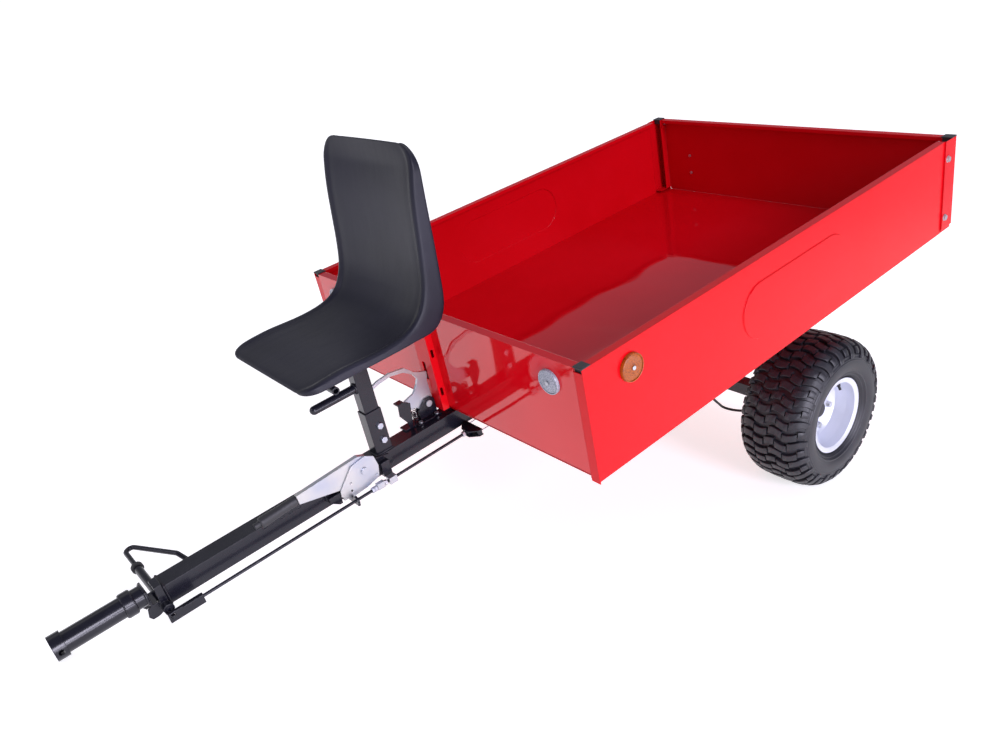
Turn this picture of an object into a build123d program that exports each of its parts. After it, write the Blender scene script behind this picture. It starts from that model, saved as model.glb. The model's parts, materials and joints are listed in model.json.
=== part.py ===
"""Tow behind cart: tipping steel bed on two turf tyres, with a drawbar seat and linked brakes.

Everything is drawn in a level cart frame in millimetres: X across, Y from the front panel's
outer face towards the tailgate, Z up from the bed's top edge. The finished pieces are then
tilted nose-down, so the cart stands on its two tyres and its hitch tip.
"""

import math
import os

from build123d import *

# Bed
BED_LENGTH = 1560.0
BED_WIDTH = 1120.0
BED_HEIGHT = 282.0
SHEET = 2.0
HEM_WIDTH = 22.0
HEM_LIP = 12.0
FLANGE = 26.0
FLOOR_FLANGE = 30.0
FRONT_RISE = 12.0
POST_WIDTH = 60.0
POST_RETURN = 28.0
POST_PROUD = 4.0
SILL_PROUD = 18.0

# Drawbar and hitch
BAR_SIZE = 50.0
BAR_WALL = 3.0
BAR_FRONT = -808.0
BAR_REAR = 974.0
BED_CLEARANCE = 5.0
HITCH_RADIUS = 24.0
HITCH_WALL = 4.0
HITCH_TIP = -1044.0
HITCH_RISE = 15.0
HITCH_PIN_RADIUS = 6.5
COLLAR_RADIUS = 29.0

# Running gear
TYRE_RADIUS = 228.5
TYRE_WIDTH = 216.0
RIM_RADIUS = 114.5
RIM_WIDTH = 178.0
RIM_FACE_X = 560.0
WHEEL_Y = 934.0
WHEEL_DROP = 317.0
AXLE_SIZE = 40.0
AXLE_WALL = 4.0
STUB_RADIUS = 12.5
STUB_SHOULDER = 18.0
HINGE_PIN_RADIUS = 8.0
HINGE_TUBE_RADIUS = 17.0
HINGE_TUBE_HALF = 61.0

# Seat
SEAT_WIDTH = 380.0
POST_Y = -215.0
POST_TOP = 24.0
POST_LENGTH = 40.0
POST_THICK = 30.0
POST_WALL = 3.0

# Joints
TIP_Y = 960.0
BRAKE_Y = -296.0
BRAKE_PIN_RADIUS = 6.0
LATCH_X = -24.0
LATCH_Y = -41.0
LATCH_PIN_RADIUS = 6.0
PEDAL_RADIUS = 6.0
SLEEVE_RADIUS = 10.0

# Fits and gaps
RUNNING = 0.05
GAP = 0.3

# Worked out from the sizes above
SIDES = (-1, 1)
HALF = BED_WIDTH / 2
UNDER = -BED_HEIGHT + SHEET
BAR_HALF = BAR_SIZE / 2
BAR_Z = -BED_HEIGHT - BED_CLEARANCE - BAR_HALF
BAR_TOP = BAR_Z + BAR_HALF
BAR_BOTTOM = BAR_Z - BAR_HALF
HITCH_Z = BAR_Z + HITCH_RISE
TIP_Z = BAR_Z
WHEEL_Z = BAR_Z - WHEEL_DROP
RIM_MIDDLE = RIM_FACE_X - RIM_WIDTH / 2
AXLE_END = RIM_MIDDLE - 126.0
PEDAL_Y = BAR_FRONT - 12.0
PEDAL_Z = BAR_Z - 16.0
BRAKE_Z = BAR_TOP + 1.0
LATCH_Z = BAR_TOP + 37.0
ROD_X = BAR_HALF + 37.0
ROD_Z = BAR_Z - 26.0
GATE_Y = BED_LENGTH - 12.0
GATE_Z = -16.0


def block(x, y, z):
    """A box given by its low and high limits on each axis."""
    size = [high - low for low, high in (x, y, z)]
    middle = [(low + high) / 2 for low, high in (x, y, z)]
    return Pos(*middle) * Box(*size)


def mirrored(side, low, high):
    """A range on X, swapped over for the left side."""
    return (low, high) if side > 0 else (-high, -low)


def rod_x(x0, x1, y, z, radius):
    return Pos((x0 + x1) / 2, y, z) * Rot(0, 90, 0) * Cylinder(radius, x1 - x0)


def rod_y(x, y0, y1, z, radius):
    return Pos(x, (y0 + y1) / 2, z) * Rot(90, 0, 0) * Cylinder(radius, y1 - y0)


def rod_z(x, y, z0, z1, radius):
    return Pos(x, y, (z0 + z1) / 2) * Cylinder(radius, z1 - z0)


def plate_x(points, x0, x1):
    """A flat plate standing along the cart, from an outline in Y and Z."""
    face = make_face(Polyline(*points, close=True))
    return extrude(Plane.YZ.offset(x0) * face, x1 - x0)


def plate_y(points, y0, y1):
    """A flat plate standing across the cart, from an outline in X and Z."""
    face = make_face(Polyline(*points, close=True))
    return extrude(Plane.XZ.offset(-y1) * face, y1 - y0)


def bent_rod(points, radius, bend):
    """A round rod along straight runs joined by tangent bends."""
    path = FilletPolyline(*points, radius=bend)
    return sweep(Plane(origin=path @ 0, z_dir=path % 0) * Circle(radius), path=path)


def hex_x(x0, x1, y, z, flats):
    """A hexagon bolt head or nut on an axis across the cart."""
    head = extrude(RegularPolygon(flats / 2, 6, major_radius=False), x1 - x0)
    return Pos(x0, y, z) * Rot(0, 90, 0) * head


def hex_y(x, y0, y1, z, flats):
    """A hexagon nut on an axis along the cart."""
    head = extrude(RegularPolygon(flats / 2, 6, major_radius=False), y1 - y0)
    return Pos(x, y1, z) * Rot(90, 0, 0) * head


# ---- bed ----

OVAL_Y = 750.0
OVAL_Z = -132.0
OVAL_LENGTH = 450.0
OVAL_HEIGHT = 150.0
OVAL_RISE = 3.0
PANEL_END = BED_LENGTH - POST_WIDTH - GAP


def oval_swage(side):
    """The pressed oval on a side panel: a raised outside face and a hollow inside one."""
    plane = Plane(origin=(0, OVAL_Y, OVAL_Z), x_dir=(0, 1, 0), z_dir=(side, 0, 0))
    shape = SlotOverall(OVAL_LENGTH, OVAL_HEIGHT)
    inner = SlotOverall(OVAL_LENGTH - 2 * SHEET, OVAL_HEIGHT - 2 * SHEET)
    raised = extrude(plane.offset(HALF) * shape, OVAL_RISE, taper=30)
    hollow = extrude(plane.offset(HALF - SHEET) * inner, OVAL_RISE, taper=30)
    return raised, hollow


def side_panel(side):
    """One folded side sheet with hem, front flange, floor flange and pressed oval."""
    front = 0.0
    wall = block(mirrored(side, HALF - SHEET, HALF), (front, PANEL_END), (-BED_HEIGHT, 0))
    hem_y = (FLANGE, PANEL_END)
    hem = block(mirrored(side, HALF - HEM_WIDTH, HALF), hem_y, (-SHEET, 0))
    lip = block(mirrored(side, HALF - HEM_WIDTH, HALF - HEM_WIDTH + SHEET), hem_y, (-HEM_LIP, 0))
    foot = block(mirrored(side, HALF - FLOOR_FLANGE, HALF), (SHEET, PANEL_END), (-BED_HEIGHT, UNDER))
    flange = block(mirrored(side, HALF - FLANGE, HALF), (front, SHEET), (-BED_HEIGHT - 6, -10))
    raised, hollow = oval_swage(side)
    return wall + hem + lip + foot + flange + raised - hollow


def front_panel():
    """The front sheet: hem along the top and a stiffening fold along the bottom."""
    reach = HALF - FLANGE - GAP
    low = -BED_HEIGHT + FRONT_RISE
    wall = block((-reach, reach), (0, SHEET), (low, 0))
    hem = block((-reach, reach), (0, HEM_WIDTH), (-SHEET, 0))
    lip = block((-reach, reach), (HEM_WIDTH - SHEET, HEM_WIDTH), (-HEM_LIP, 0))
    foot = block((-reach, reach), (0, 20), (low, low + SHEET))
    inside = HALF - SHEET - GAP
    tongue = block((-inside, inside), (SHEET + GAP, 2 * SHEET + GAP), (low, -16))
    link = block((-reach, reach), (SHEET, SHEET + GAP), (low, -16))
    return wall + hem + lip + foot + tongue + link


def bed_floor():
    """The flat load floor, resting on the side panels' floor flanges."""
    reach = HALF - SHEET - GAP
    return block((-reach, reach), (2 * SHEET + 2 * GAP, BED_LENGTH - 4), (UNDER, UNDER + SHEET))


RIB_HEIGHT = 27.0
RIB_WIDTH = 35.0
RIB_WALL = 3.0
RIB_X = 240.0
BAR_BAY = 40.0
CROSS_RIB_Y = (300.0, BED_LENGTH - 230.0)
RIB_REACH = HALF - FLOOR_FLANGE


def channel(x, y, along_y):
    """A folded channel lying open side up against the load floor."""
    low = UNDER - RIB_HEIGHT
    trim_x, trim_y = (RIB_WALL, -1) if along_y else (-1, RIB_WALL)
    hollow_x = (x[0] + trim_x, x[1] - trim_x)
    hollow_y = (y[0] + trim_y, y[1] - trim_y)
    return block(x, y, (low, UNDER)) - block(hollow_x, hollow_y, (low + RIB_WALL, UNDER + 1))


def bed_ribs():
    """Two long channels and two rows of cross channels under the floor."""
    ribs = []
    for side in SIDES:
        ribs.append(channel(mirrored(side, RIB_X, RIB_X + RIB_WIDTH), (40, BED_LENGTH - 60), True))
        for y in CROSS_RIB_Y:
            ribs.append(channel(mirrored(side, RIB_X + RIB_WIDTH, RIB_REACH), (y, y + RIB_WIDTH), False))
            ribs.append(channel(mirrored(side, BAR_BAY, RIB_X), (y, y + RIB_WIDTH), False))
    return ribs


def bed_crossers():
    """Thin flat straps joining the ribs across the top of the drawbar."""
    return [block((-BAR_BAY, BAR_BAY), (y, y + RIB_WIDTH), (UNDER - RIB_WALL, UNDER)) for y in CROSS_RIB_Y]


def bed_sills():
    """The cross angle under the floor at the tailgate, with the keeper holes."""
    y0, y1 = BED_LENGTH - 40, BED_LENGTH + SILL_PROUD
    sill = block((-RIB_REACH, RIB_REACH), (y0, y1), (UNDER - 3, UNDER))
    sill = sill + block((-RIB_REACH, RIB_REACH), (y0, y0 + 3), (UNDER - 30, UNDER))
    for side in SIDES:
        hole = rod_z(side * GATE_BOLT_X, GATE_BOLT_Y, UNDER - 4, UNDER + 1, GATE_BOLT_RADIUS + 0.6)
        sill = sill - hole
    return sill


def rear_post(side):
    """The folded rear corner post, proud of the side panel."""
    outer = HALF + POST_PROUD
    y0, y1 = BED_LENGTH - POST_WIDTH, BED_LENGTH
    low = -BED_HEIGHT + FRONT_RISE
    face = block(mirrored(side, outer - SHEET, outer), (y0, y1), (low, 0))
    step = block(mirrored(side, HALF - SHEET, outer), (y0, y0 + SHEET), (low, 0))
    inner = HALF - POST_RETURN
    back = block(mirrored(side, inner, outer), (y1 - SHEET, y1), (low, 0))
    lip = block(mirrored(side, inner, inner + SHEET), (y1 - FLANGE, y1), (low, 0))
    shelf = block(mirrored(side, inner, outer), (y0, y1), (low, low + SHEET))
    return face + step + back + lip + shelf


CAP_LIP = 0.5
CAP_TOP = 3.5
CAP_DEPTH = 15.0


def corner_cap(x, y, plug_x, plug_y):
    """One black plug: a chamfered top on a block that goes down into the corner."""
    top = block(x, y, (GAP, CAP_TOP))
    return chamfer(top.edges().group_by(Axis.Z)[-1], 1.2) + block(plug_x, plug_y, (-CAP_DEPTH, GAP))


def corner_caps():
    """Black plastic plugs closing the four top corners."""
    caps = []
    outer = HALF + POST_PROUD
    inner = HALF - POST_RETURN
    y1 = BED_LENGTH
    for side in SIDES:
        caps.append(corner_cap(
            mirrored(side, HALF - FLANGE, HALF + CAP_LIP),
            (-CAP_LIP, FLANGE - GAP),
            mirrored(side, HALF - FLANGE, HALF - SHEET - GAP),
            (2 * SHEET + 2 * GAP, FLANGE - GAP),
        ))
        caps.append(corner_cap(
            mirrored(side, inner, outer + CAP_LIP),
            (y1 - POST_RETURN, y1 + CAP_LIP),
            mirrored(side, inner + SHEET + GAP, outer - SHEET - GAP),
            (y1 - FLANGE + SHEET, y1 - SHEET - GAP),
        ))
    return caps


REFLECTOR_RADIUS = 30.0
REFLECTOR_DEPTH = 9.0
SCREW_RADIUS = 3.0
CLEAR_X = HALF - 107.0
CLEAR_Z = -58.0
AMBER_Y = 137.0
AMBER_Z = -60.0


def lens(radius, depth):
    """A round reflector: a shallow domed puck with a central screw hole, on +Z."""
    edge = [(radius, 0), (radius, depth * 0.6), (radius - 3, depth * 0.85)]
    outline = [(SCREW_RADIUS, 0), *edge, (8, depth), (SCREW_RADIUS, depth)]
    return revolve(Plane.XZ * make_face(Polyline(*outline, close=True)), Axis.Z)


def screw(depth):
    """A pan-head screw through a reflector, on +Z."""
    shank = Pos(0, 0, depth / 2) * Cylinder(SCREW_RADIUS - GAP, depth)
    return Pos(0, 0, depth + 1.2) * Cylinder(5, 2.4) + shank


def on_front(side, shape):
    return Pos(side * CLEAR_X, 0, CLEAR_Z) * Rot(90, 0, 0) * shape


def on_side(side, shape):
    return Pos(side * HALF, AMBER_Y, AMBER_Z) * Rot(0, side * 90, 0) * shape


def clear_reflectors():
    return [on_front(side, lens(REFLECTOR_RADIUS, REFLECTOR_DEPTH)) for side in SIDES]


def amber_reflectors():
    return [on_side(side, lens(REFLECTOR_RADIUS + 3, REFLECTOR_DEPTH)) for side in SIDES]


def reflector_screws():
    screws = [on_front(side, screw(REFLECTOR_DEPTH)) for side in SIDES]
    return screws + [on_side(side, screw(REFLECTOR_DEPTH)) for side in SIDES]


def post_bolts():
    """The zinc bolts that hold each rear post to its side panel."""
    bolts = []
    x = HALF + POST_PROUD
    y = BED_LENGTH - POST_WIDTH + 14
    for side in SIDES:
        for z in (-55, -BED_HEIGHT + 47):
            head = hex_x(x, x + 6, y, z, 15) + rod_x(x, x + 1.5, y, z, 10)
            bolts.append(head if side > 0 else mirror(head, Plane.YZ))
    return bolts


CHANNEL_DEPTH = 20.0
CHANNEL_WALL = 3.0


def latch_channel():
    """The red channel on the front panel that the tipping latch hooks."""
    x0, x1 = LATCH_X - 22, LATCH_X + 38
    z0, z1 = -BED_HEIGHT + 6, -20.0
    web = block((x0, x1), (-CHANNEL_DEPTH, -CHANNEL_DEPTH + CHANNEL_WALL), (z0, z1))
    body = web
    for x in (x0, x1 - CHANNEL_WALL):
        body = body + block((x, x + CHANNEL_WALL), (-CHANNEL_DEPTH, 0), (z0, z1))
    window_z = (LATCH_Z + 60, LATCH_Z + 112)
    body = body - block((LATCH_X - 7, LATCH_X + 7), (-CHANNEL_DEPTH - 1, -CHANNEL_DEPTH + 4), window_z)
    for z in (LATCH_Z + 130, LATCH_Z + 18):
        body = body - block((x1 - 4, x1 + 1), (-14, -6), (z, z + 22))
    return body


LUG_X = (HINGE_TUBE_HALF + 1, HINGE_TUBE_HALF + 7)
LUG_REACH = 45.0


def hinge_lugs():
    """Plates under the floor that carry the bed on the tipping pin."""
    lugs = []
    outline = [
        (TIP_Y - LUG_REACH, UNDER), (TIP_Y + LUG_REACH, UNDER),
        (TIP_Y + 13, TIP_Z - 17), (TIP_Y - 13, TIP_Z - 17),
    ]
    for side in SIDES:
        lug = plate_x(outline, *mirrored(side, *LUG_X))
        lug = lug - rod_x(-80, 80, TIP_Y, TIP_Z, HINGE_PIN_RADIUS + RUNNING)
        strap = block(mirrored(side, LUG_X[1], RIB_X), (TIP_Y - 20, TIP_Y + 20), (UNDER - 6, UNDER))
        lugs.append(lug + strap)
    return lugs


# ---- tailgate ----

GATE_HALF = HALF - POST_RETURN - 1.0
GATE_PIN_RADIUS = 4.0
GATE_BOLT_X = HALF - 138.0
GATE_BOLT_Y = BED_LENGTH + 11.0
GATE_BOLT_RADIUS = 6.0
GATE_LOW = UNDER + 3
GUIDE_Z = (-136.0, -202.0)
KNOB_Z = -169.0
KNOB_REACH = 30.0
KNOB_RADIUS = 9.0


def tailgate_panel():
    """The top-hung tail sheet with its hem, low fold and pivot ears."""
    y1 = BED_LENGTH
    wall = block((-GATE_HALF, GATE_HALF), (y1 - SHEET, y1), (GATE_LOW, 0))
    hem = block((-GATE_HALF, GATE_HALF), (y1 - HEM_WIDTH, y1), (-SHEET, 0))
    lip = block((-GATE_HALF, GATE_HALF), (y1 - HEM_WIDTH, y1 - HEM_WIDTH + SHEET), (-HEM_LIP, 0))
    gate = wall + hem + lip
    for side in SIDES:
        ear = block(mirrored(side, GATE_HALF - 4, GATE_HALF), (y1 - HEM_WIDTH, y1), (-32, 0))
        gate = gate + ear
    return gate - rod_x(-HALF, HALF, GATE_Y, GATE_Z, GATE_PIN_RADIUS + RUNNING)


def gate_pins():
    """Fixed pins on the rear posts that the tailgate swings on."""
    pins = []
    for side in SIDES:
        x = mirrored(side, GATE_HALF - 12, HALF - POST_RETURN)
        pins.append(rod_x(*x, GATE_Y, GATE_Z, GATE_PIN_RADIUS))
    return pins


def gate_guides():
    """Brackets on the tail sheet that guide the two drop bolts."""
    guides = []
    y0 = BED_LENGTH
    for side in SIDES:
        x = side * GATE_BOLT_X
        plate = block((x - 15, x + 15), (y0, y0 + 2.5), (-220, -118))
        for z in GUIDE_Z:
            plate = plate + block((x - 12, x + 12), (y0, y0 + 21), (z - 7, z + 7))
        guides.append(plate - rod_z(x, GATE_BOLT_Y, -230, -100, GATE_BOLT_RADIUS + RUNNING))
    return guides


def gate_bolts_inside():
    """Screw heads of the bolt brackets on the inner face of the tail sheet."""
    heads = []
    y1 = BED_LENGTH - SHEET
    for side in SIDES:
        for z in GUIDE_Z:
            heads.append(rod_y(side * GATE_BOLT_X, y1 - 3, y1, z, 5.5))
    return heads


def gate_bolt(side):
    """A drop bolt with a finger knob, lifted clear of its keeper."""
    x = side * GATE_BOLT_X
    pin = rod_z(x, GATE_BOLT_Y, UNDER + 2, -112, GATE_BOLT_RADIUS)
    arm = rod_y(x, GATE_BOLT_Y, GATE_BOLT_Y + 26, KNOB_Z, 4)
    knob = Pos(x, GATE_BOLT_Y + KNOB_REACH, KNOB_Z) * Sphere(KNOB_RADIUS)
    return pin + arm + knob


# ---- running gear ----

LUG_CIRCLE = 50.0
LUG_TURNS = (-8, 82, 172, 262)
VALVE_TURN = 62
VALVE_FOOT = (RIM_WIDTH / 2 - 29, RIM_RADIUS - 18.5)
VALVE_LEAN = -52.0
DISC_X = RIM_WIDTH / 2 - 66


def tyre():
    """A closed turf tyre section turned about the wheel's axis."""
    half, crown = TYRE_WIDTH / 2, TYRE_RADIUS
    bead = RIM_WIDTH / 2 - 4
    seat = RIM_RADIUS - 11.5
    shoulder = crown - 32.5
    bulge = (seat + shoulder) / 2 + 15.5
    right = [
        (half - 46, crown - 3), (half - 24, crown - 14), (half - 6, shoulder), (half, bulge),
        (half - 6, seat + 29), (bead, seat + 13), (bead, seat + 3), (bead - 9, seat),
    ]
    inside = [(bead - 18, seat + 15), (bead - 10, bulge - 15), (0, crown - 23.5)]
    left = [(-x, radius) for x, radius in reversed(right)]
    inner_left = [(-x, radius) for x, radius in reversed(inside[:2])]
    outline = [(0, crown), *right, *inside, *inner_left, *left]
    return revolve(make_face(Polyline(*outline, close=True)), Axis.X)


def at_valve(shape):
    """Puts a piece that is drawn along X from the valve's foot in its place on the rim."""
    return Rot(VALVE_TURN, 0, 0) * (Pos(*VALVE_FOOT, 0) * (Rot(0, 0, VALVE_LEAN) * shape))


def rim():
    """A deep drop-centre steel rim with its disc towards the outside."""
    half = RIM_WIDTH / 2
    disc = DISC_X
    edge = RIM_RADIUS
    seat = edge - 12
    well = edge - 26.5
    outside = [
        (-half, edge), (-half, edge - 4.5), (-half + 4, seat - 0.1), (-half + 26, seat - 3.1),
        (-half + 36, well), (20, well), (disc - 6, well - 4), (disc - 9, 62), (disc, 56), (disc, 30),
        (disc + 3, 30), (disc + 3, 57.5), (disc - 4, 64), (disc - 1, well - 7), (disc + 6, well - 1),
        (half - 28, well + 8), (half - 4, seat - 3.1), (half, edge - 4.5), (half, edge),
    ]
    inside = [
        (half - 3, edge), (half - 4, edge - 8.8), (half - 6, seat), (half - 30, seat - 3.5),
        (disc + 4, well + 2.5), (-half + 37, well + 2.5), (-half + 27, seat), (-half + 6, seat),
        (-half + 4, edge - 8.8), (-half + 3, edge),
    ]
    body = revolve(make_face(Polyline(*outside, *inside, close=True)), Axis.X)
    for turn in LUG_TURNS:
        body = body - Rot(turn, 0, 0) * rod_x(disc - 8, disc + 10, LUG_CIRCLE, 0, LUG_RADIUS + 0.5)
    return body - at_valve(rod_x(-10, 10, 0, 0, VALVE_STEM))


LUG_RADIUS = 5.8
VALVE_STEM = 5.8


def hub_drum():
    """The brake drum, hub barrel and bearing cap, on the wheel's axis."""
    outline = [
        (-72, 78), (-72, 74), (DISC_X - 6, 74), (DISC_X - 6, 24), (-60, 24), (-60, STUB_RADIUS + RUNNING),
        (DISC_X + 8, STUB_RADIUS + RUNNING), (DISC_X + 8, 0), (DISC_X + 14, 0), (DISC_X + 14, 20),
        (DISC_X + 10, 24), (DISC_X + 3, 26), (DISC_X + 3, 28.5), (DISC_X - 0.3, 28.5),
        (DISC_X - 0.3, 50), (DISC_X - 3, 55), (DISC_X - 14, 78),
    ]
    body = revolve(make_face(Polyline(*outline, close=True)), Axis.X)
    for turn in LUG_TURNS:
        body = body - Rot(turn, 0, 0) * rod_x(DISC_X - 20, DISC_X + 2, LUG_CIRCLE, 0, LUG_RADIUS + 0.2)
    return body


def lug_bolts():
    """Four conical-seat wheel bolts."""
    bolts = []
    for turn in LUG_TURNS:
        shank = rod_x(DISC_X - 12, DISC_X + 3, LUG_CIRCLE, 0, LUG_RADIUS)
        head = hex_x(DISC_X + 3, DISC_X + 15, LUG_CIRCLE, 0, 17)
        bolts.append(Rot(turn, 0, 0) * (shank + head))
    return bolts


def tyre_valve():
    """The short rubber valve leaning inwards from the rim's outer slope."""
    return at_valve(rod_x(-9, 16, 0, 0, VALVE_STEM) + rod_x(16, 28, 0, 0, 4))


def at_wheel(side, shape):
    placed = shape if side > 0 else mirror(shape, Plane.YZ)
    return Pos(side * RIM_MIDDLE, WHEEL_Y, WHEEL_Z) * placed


def tube_x(reach, y, z, size, wall):
    """A square tube lying across the cart, as long each side of the middle."""
    half = size / 2
    outer = block((-reach, reach), (y - half, y + half), (z - half, z + half))
    half -= wall
    return outer - block((-reach - 1, reach + 1), (y - half, y + half), (z - half, z + half))


def axle_beam():
    """The square axle tube, closed at both ends round the stub axles."""
    return tube_x(AXLE_END, WHEEL_Y, WHEEL_Z, AXLE_SIZE, AXLE_WALL)


def axle_legs():
    """Two upright square tubes between the axle beam and the bolster."""
    z = (WHEEL_Z + AXLE_SIZE / 2, BAR_BOTTOM - BAR_SIZE)
    inner = BAR_HALF - BAR_WALL
    legs = []
    for side in SIDES:
        x = side * LEG_X
        outer = block((x - BAR_HALF, x + BAR_HALF), (WHEEL_Y - BAR_HALF, WHEEL_Y + BAR_HALF), z)
        hollow = block((x - inner, x + inner), (WHEEL_Y - inner, WHEEL_Y + inner), (z[0] - 1, z[1] + 1))
        legs.append(outer - hollow)
    return legs


LEG_X = 175.0


def bolster():
    """The cross tube under the drawbar that the axle legs stand under."""
    return tube_x(LEG_X + BAR_SIZE, WHEEL_Y, BAR_BOTTOM - BAR_HALF, BAR_SIZE, BAR_WALL)


BRACE_Y = 420.0


def axle_braces():
    """Two round braces from the legs' feet forward to the drawbar."""
    braces = []
    for side in SIDES:
        start = Vector(side * LEG_X, WHEEL_Y - 42, WHEEL_Z + 40)
        end = Vector(side * 22, BRACE_Y, BAR_BOTTOM - 10)
        path = Line(start, end)
        bar = sweep(Plane(origin=start, z_dir=end - start) * Circle(10), path=path)
        foot_x = (side * LEG_X - 14, side * LEG_X + 14)
        foot = block(foot_x, (WHEEL_Y - 52, WHEEL_Y - BAR_HALF), (WHEEL_Z + 26, WHEEL_Z + 54))
        head = block(mirrored(side, 4, 25), (BRACE_Y - 16, BRACE_Y + 24), (BAR_BOTTOM - 20, BAR_BOTTOM))
        braces.append(bar + foot + head)
    return braces


def stub_axles():
    """Round stubs that the hubs turn on, plugged into the axle tube."""
    stubs = []
    step = RIM_MIDDLE - 78
    plug_y = (WHEEL_Y - AXLE_PLUG, WHEEL_Y + AXLE_PLUG)
    plug_z = (WHEEL_Z - AXLE_PLUG, WHEEL_Z + AXLE_PLUG)
    for side in SIDES:
        plug = block(mirrored(side, AXLE_END - 60, AXLE_END), plug_y, plug_z)
        thick = rod_x(*mirrored(side, AXLE_END, step), WHEEL_Y, WHEEL_Z, STUB_SHOULDER)
        thin = rod_x(*mirrored(side, step, RIM_MIDDLE + DISC_X + 6), WHEEL_Y, WHEEL_Z, STUB_RADIUS)
        stubs.append(plug + thick + thin)
    return stubs


AXLE_PLUG = AXLE_SIZE / 2 - AXLE_WALL
PLATE_X = RIM_MIDDLE - 82


def brake_backplates():
    """Fixed plates closing the brake drums, with the cable anchors."""
    plates = []
    anchor_y = (CABLE_END_Y - 8, CABLE_END_Y + 8)
    anchor_z = (CABLE_END_Z - 12, CABLE_END_Z + 12)
    for side in SIDES:
        plate = rod_x(*mirrored(side, PLATE_X, PLATE_X + 4), WHEEL_Y, WHEEL_Z, 84)
        bore_x = mirrored(side, PLATE_X - 1, PLATE_X + 5)
        plate = plate - rod_x(*bore_x, WHEEL_Y, WHEEL_Z, STUB_SHOULDER + 0.2)
        anchor = block(mirrored(side, PLATE_X - 22, PLATE_X), anchor_y, anchor_z)
        hole_x = mirrored(side, PLATE_X - 23, PLATE_X - 6)
        hole = rod_x(*hole_x, CABLE_END_Y, CABLE_END_Z, SHEATH_RADIUS + GAP)
        plates.append(plate + anchor - hole)
    return plates


# ---- drawbar ----

def square_tube(x, y0, y1, z, size, wall):
    half = size / 2
    outer = block((x - half, x + half), (y0, y1), (z - half, z + half))
    half -= wall
    inner = block((x - half, x + half), (y0 - 1, y1 + 1), (z - half, z + half))
    return outer - inner


def drawbar():
    tube = square_tube(0, BAR_FRONT, BAR_REAR, BAR_Z, BAR_SIZE, BAR_WALL)
    for number in range(5):
        y = -566 + 22 * number
        tube = tube - block((BAR_HALF - 1.2, BAR_HALF + 1), (y, y + 11), (BAR_TOP - 9, BAR_TOP - 5))
    return tube - rod_x(-BAR_SIZE, BAR_SIZE, TIP_Y, TIP_Z, HINGE_TUBE_RADIUS)


def tip_hinge_tube():
    """The bearing tube through the drawbar that the bed tips on."""
    reach = HINGE_TUBE_HALF
    bore = rod_x(-reach - 1, reach + 1, TIP_Y, TIP_Z, HINGE_PIN_RADIUS + RUNNING)
    return rod_x(-reach, reach, TIP_Y, TIP_Z, HINGE_TUBE_RADIUS) - bore


def tip_pin():
    """The long hinge bolt with its head and nut."""
    face = LUG_X[1] + GAP
    pin = rod_x(-face - 12, face + 12, TIP_Y, TIP_Z, HINGE_PIN_RADIUS)
    return pin + hex_x(face, face + 10, TIP_Y, TIP_Z, 24) + hex_x(-face - 10, -face, TIP_Y, TIP_Z, 24)


def front_plate():
    """The end plate and cheeks joining the hitch tube to the drawbar."""
    y0, y1 = BAR_FRONT - 34, BAR_FRONT
    back = block((-BAR_HALF, BAR_HALF), (y1 - 5, y1), (BAR_BOTTOM, BAR_TOP))
    front = block((-BAR_HALF, BAR_HALF), (y0 - 5, y0), (BAR_BOTTOM, BAR_TOP + 8))
    outline = [
        (y0 - 14, BAR_Z - 10), (y0 - 5, BAR_Z - 4), (y1, BAR_Z - 4), (y1, BAR_BOTTOM),
        (y0 + 2, BAR_BOTTOM - 12), (y0 - 12, BAR_BOTTOM - 12), (y0 - 18, BAR_Z - 28),
    ]
    cheeks = [plate_x(outline, *mirrored(side, BAR_HALF - 4, BAR_HALF)) for side in SIDES]
    body = back + front + cheeks[0] + cheeks[1]
    return body - rod_x(-40, 40, PEDAL_Y, PEDAL_Z, SLEEVE_RADIUS)


SLEEVE_END = BAR_HALF + 13.0
STRAP_X = BAR_HALF + 7.0


def pedal_sleeve():
    """The bearing tube of the foot pedal and the strap that holds its near end."""
    y = (PEDAL_Y - 8, PEDAL_Y + 8)
    tube = rod_x(-150, SLEEVE_END, PEDAL_Y, PEDAL_Z, SLEEVE_RADIUS)
    strap = block((BAR_HALF, STRAP_X), y, (PEDAL_Z, BAR_TOP + 6))
    cap = block((-6, STRAP_X), y, (BAR_TOP + 8, BAR_TOP + 12))
    joint = block((BAR_HALF, STRAP_X), y, (BAR_TOP + 4, BAR_TOP + 12))
    body = tube + strap + cap + joint
    return body - rod_x(-151, SLEEVE_END + 1, PEDAL_Y, PEDAL_Z, PEDAL_RADIUS + RUNNING)


def hitch_tube():
    """The round tube of the hitch, open at the tip."""
    rear = BAR_FRONT - 39
    bore = rod_y(0, HITCH_TIP - 1, rear + 1, HITCH_Z, HITCH_RADIUS - HITCH_WALL)
    tube = rod_y(0, HITCH_TIP, rear, HITCH_Z, HITCH_RADIUS) - bore
    return tube - rod_x(-40, 40, HITCH_TIP + 13, HITCH_Z, HITCH_PIN_RADIUS)


def hitch_tip_collar():
    """The thick ring at the tip, cross-drilled for the tow pin."""
    ring = rod_y(0, HITCH_TIP, HITCH_TIP + 26, HITCH_Z, COLLAR_RADIUS)
    ring = ring - rod_y(0, HITCH_TIP - 1, HITCH_TIP + 27, HITCH_Z, HITCH_RADIUS)
    return ring - rod_x(-40, 40, HITCH_TIP + 13, HITCH_Z, HITCH_PIN_RADIUS)


def hitch_stop_collar():
    """The ring that stops the tow hook part-way along the hitch tube."""
    ring = rod_y(0, -892, -872, HITCH_Z, COLLAR_RADIUS)
    return ring - rod_y(0, -893, -871, HITCH_Z, HITCH_RADIUS)


def rest_pad():
    """The rubber pad on the drawbar that the bed lies on."""
    return block((-20, 20), (40, 110), (BAR_TOP, UNDER - GAP))


# ---- seat ----

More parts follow.
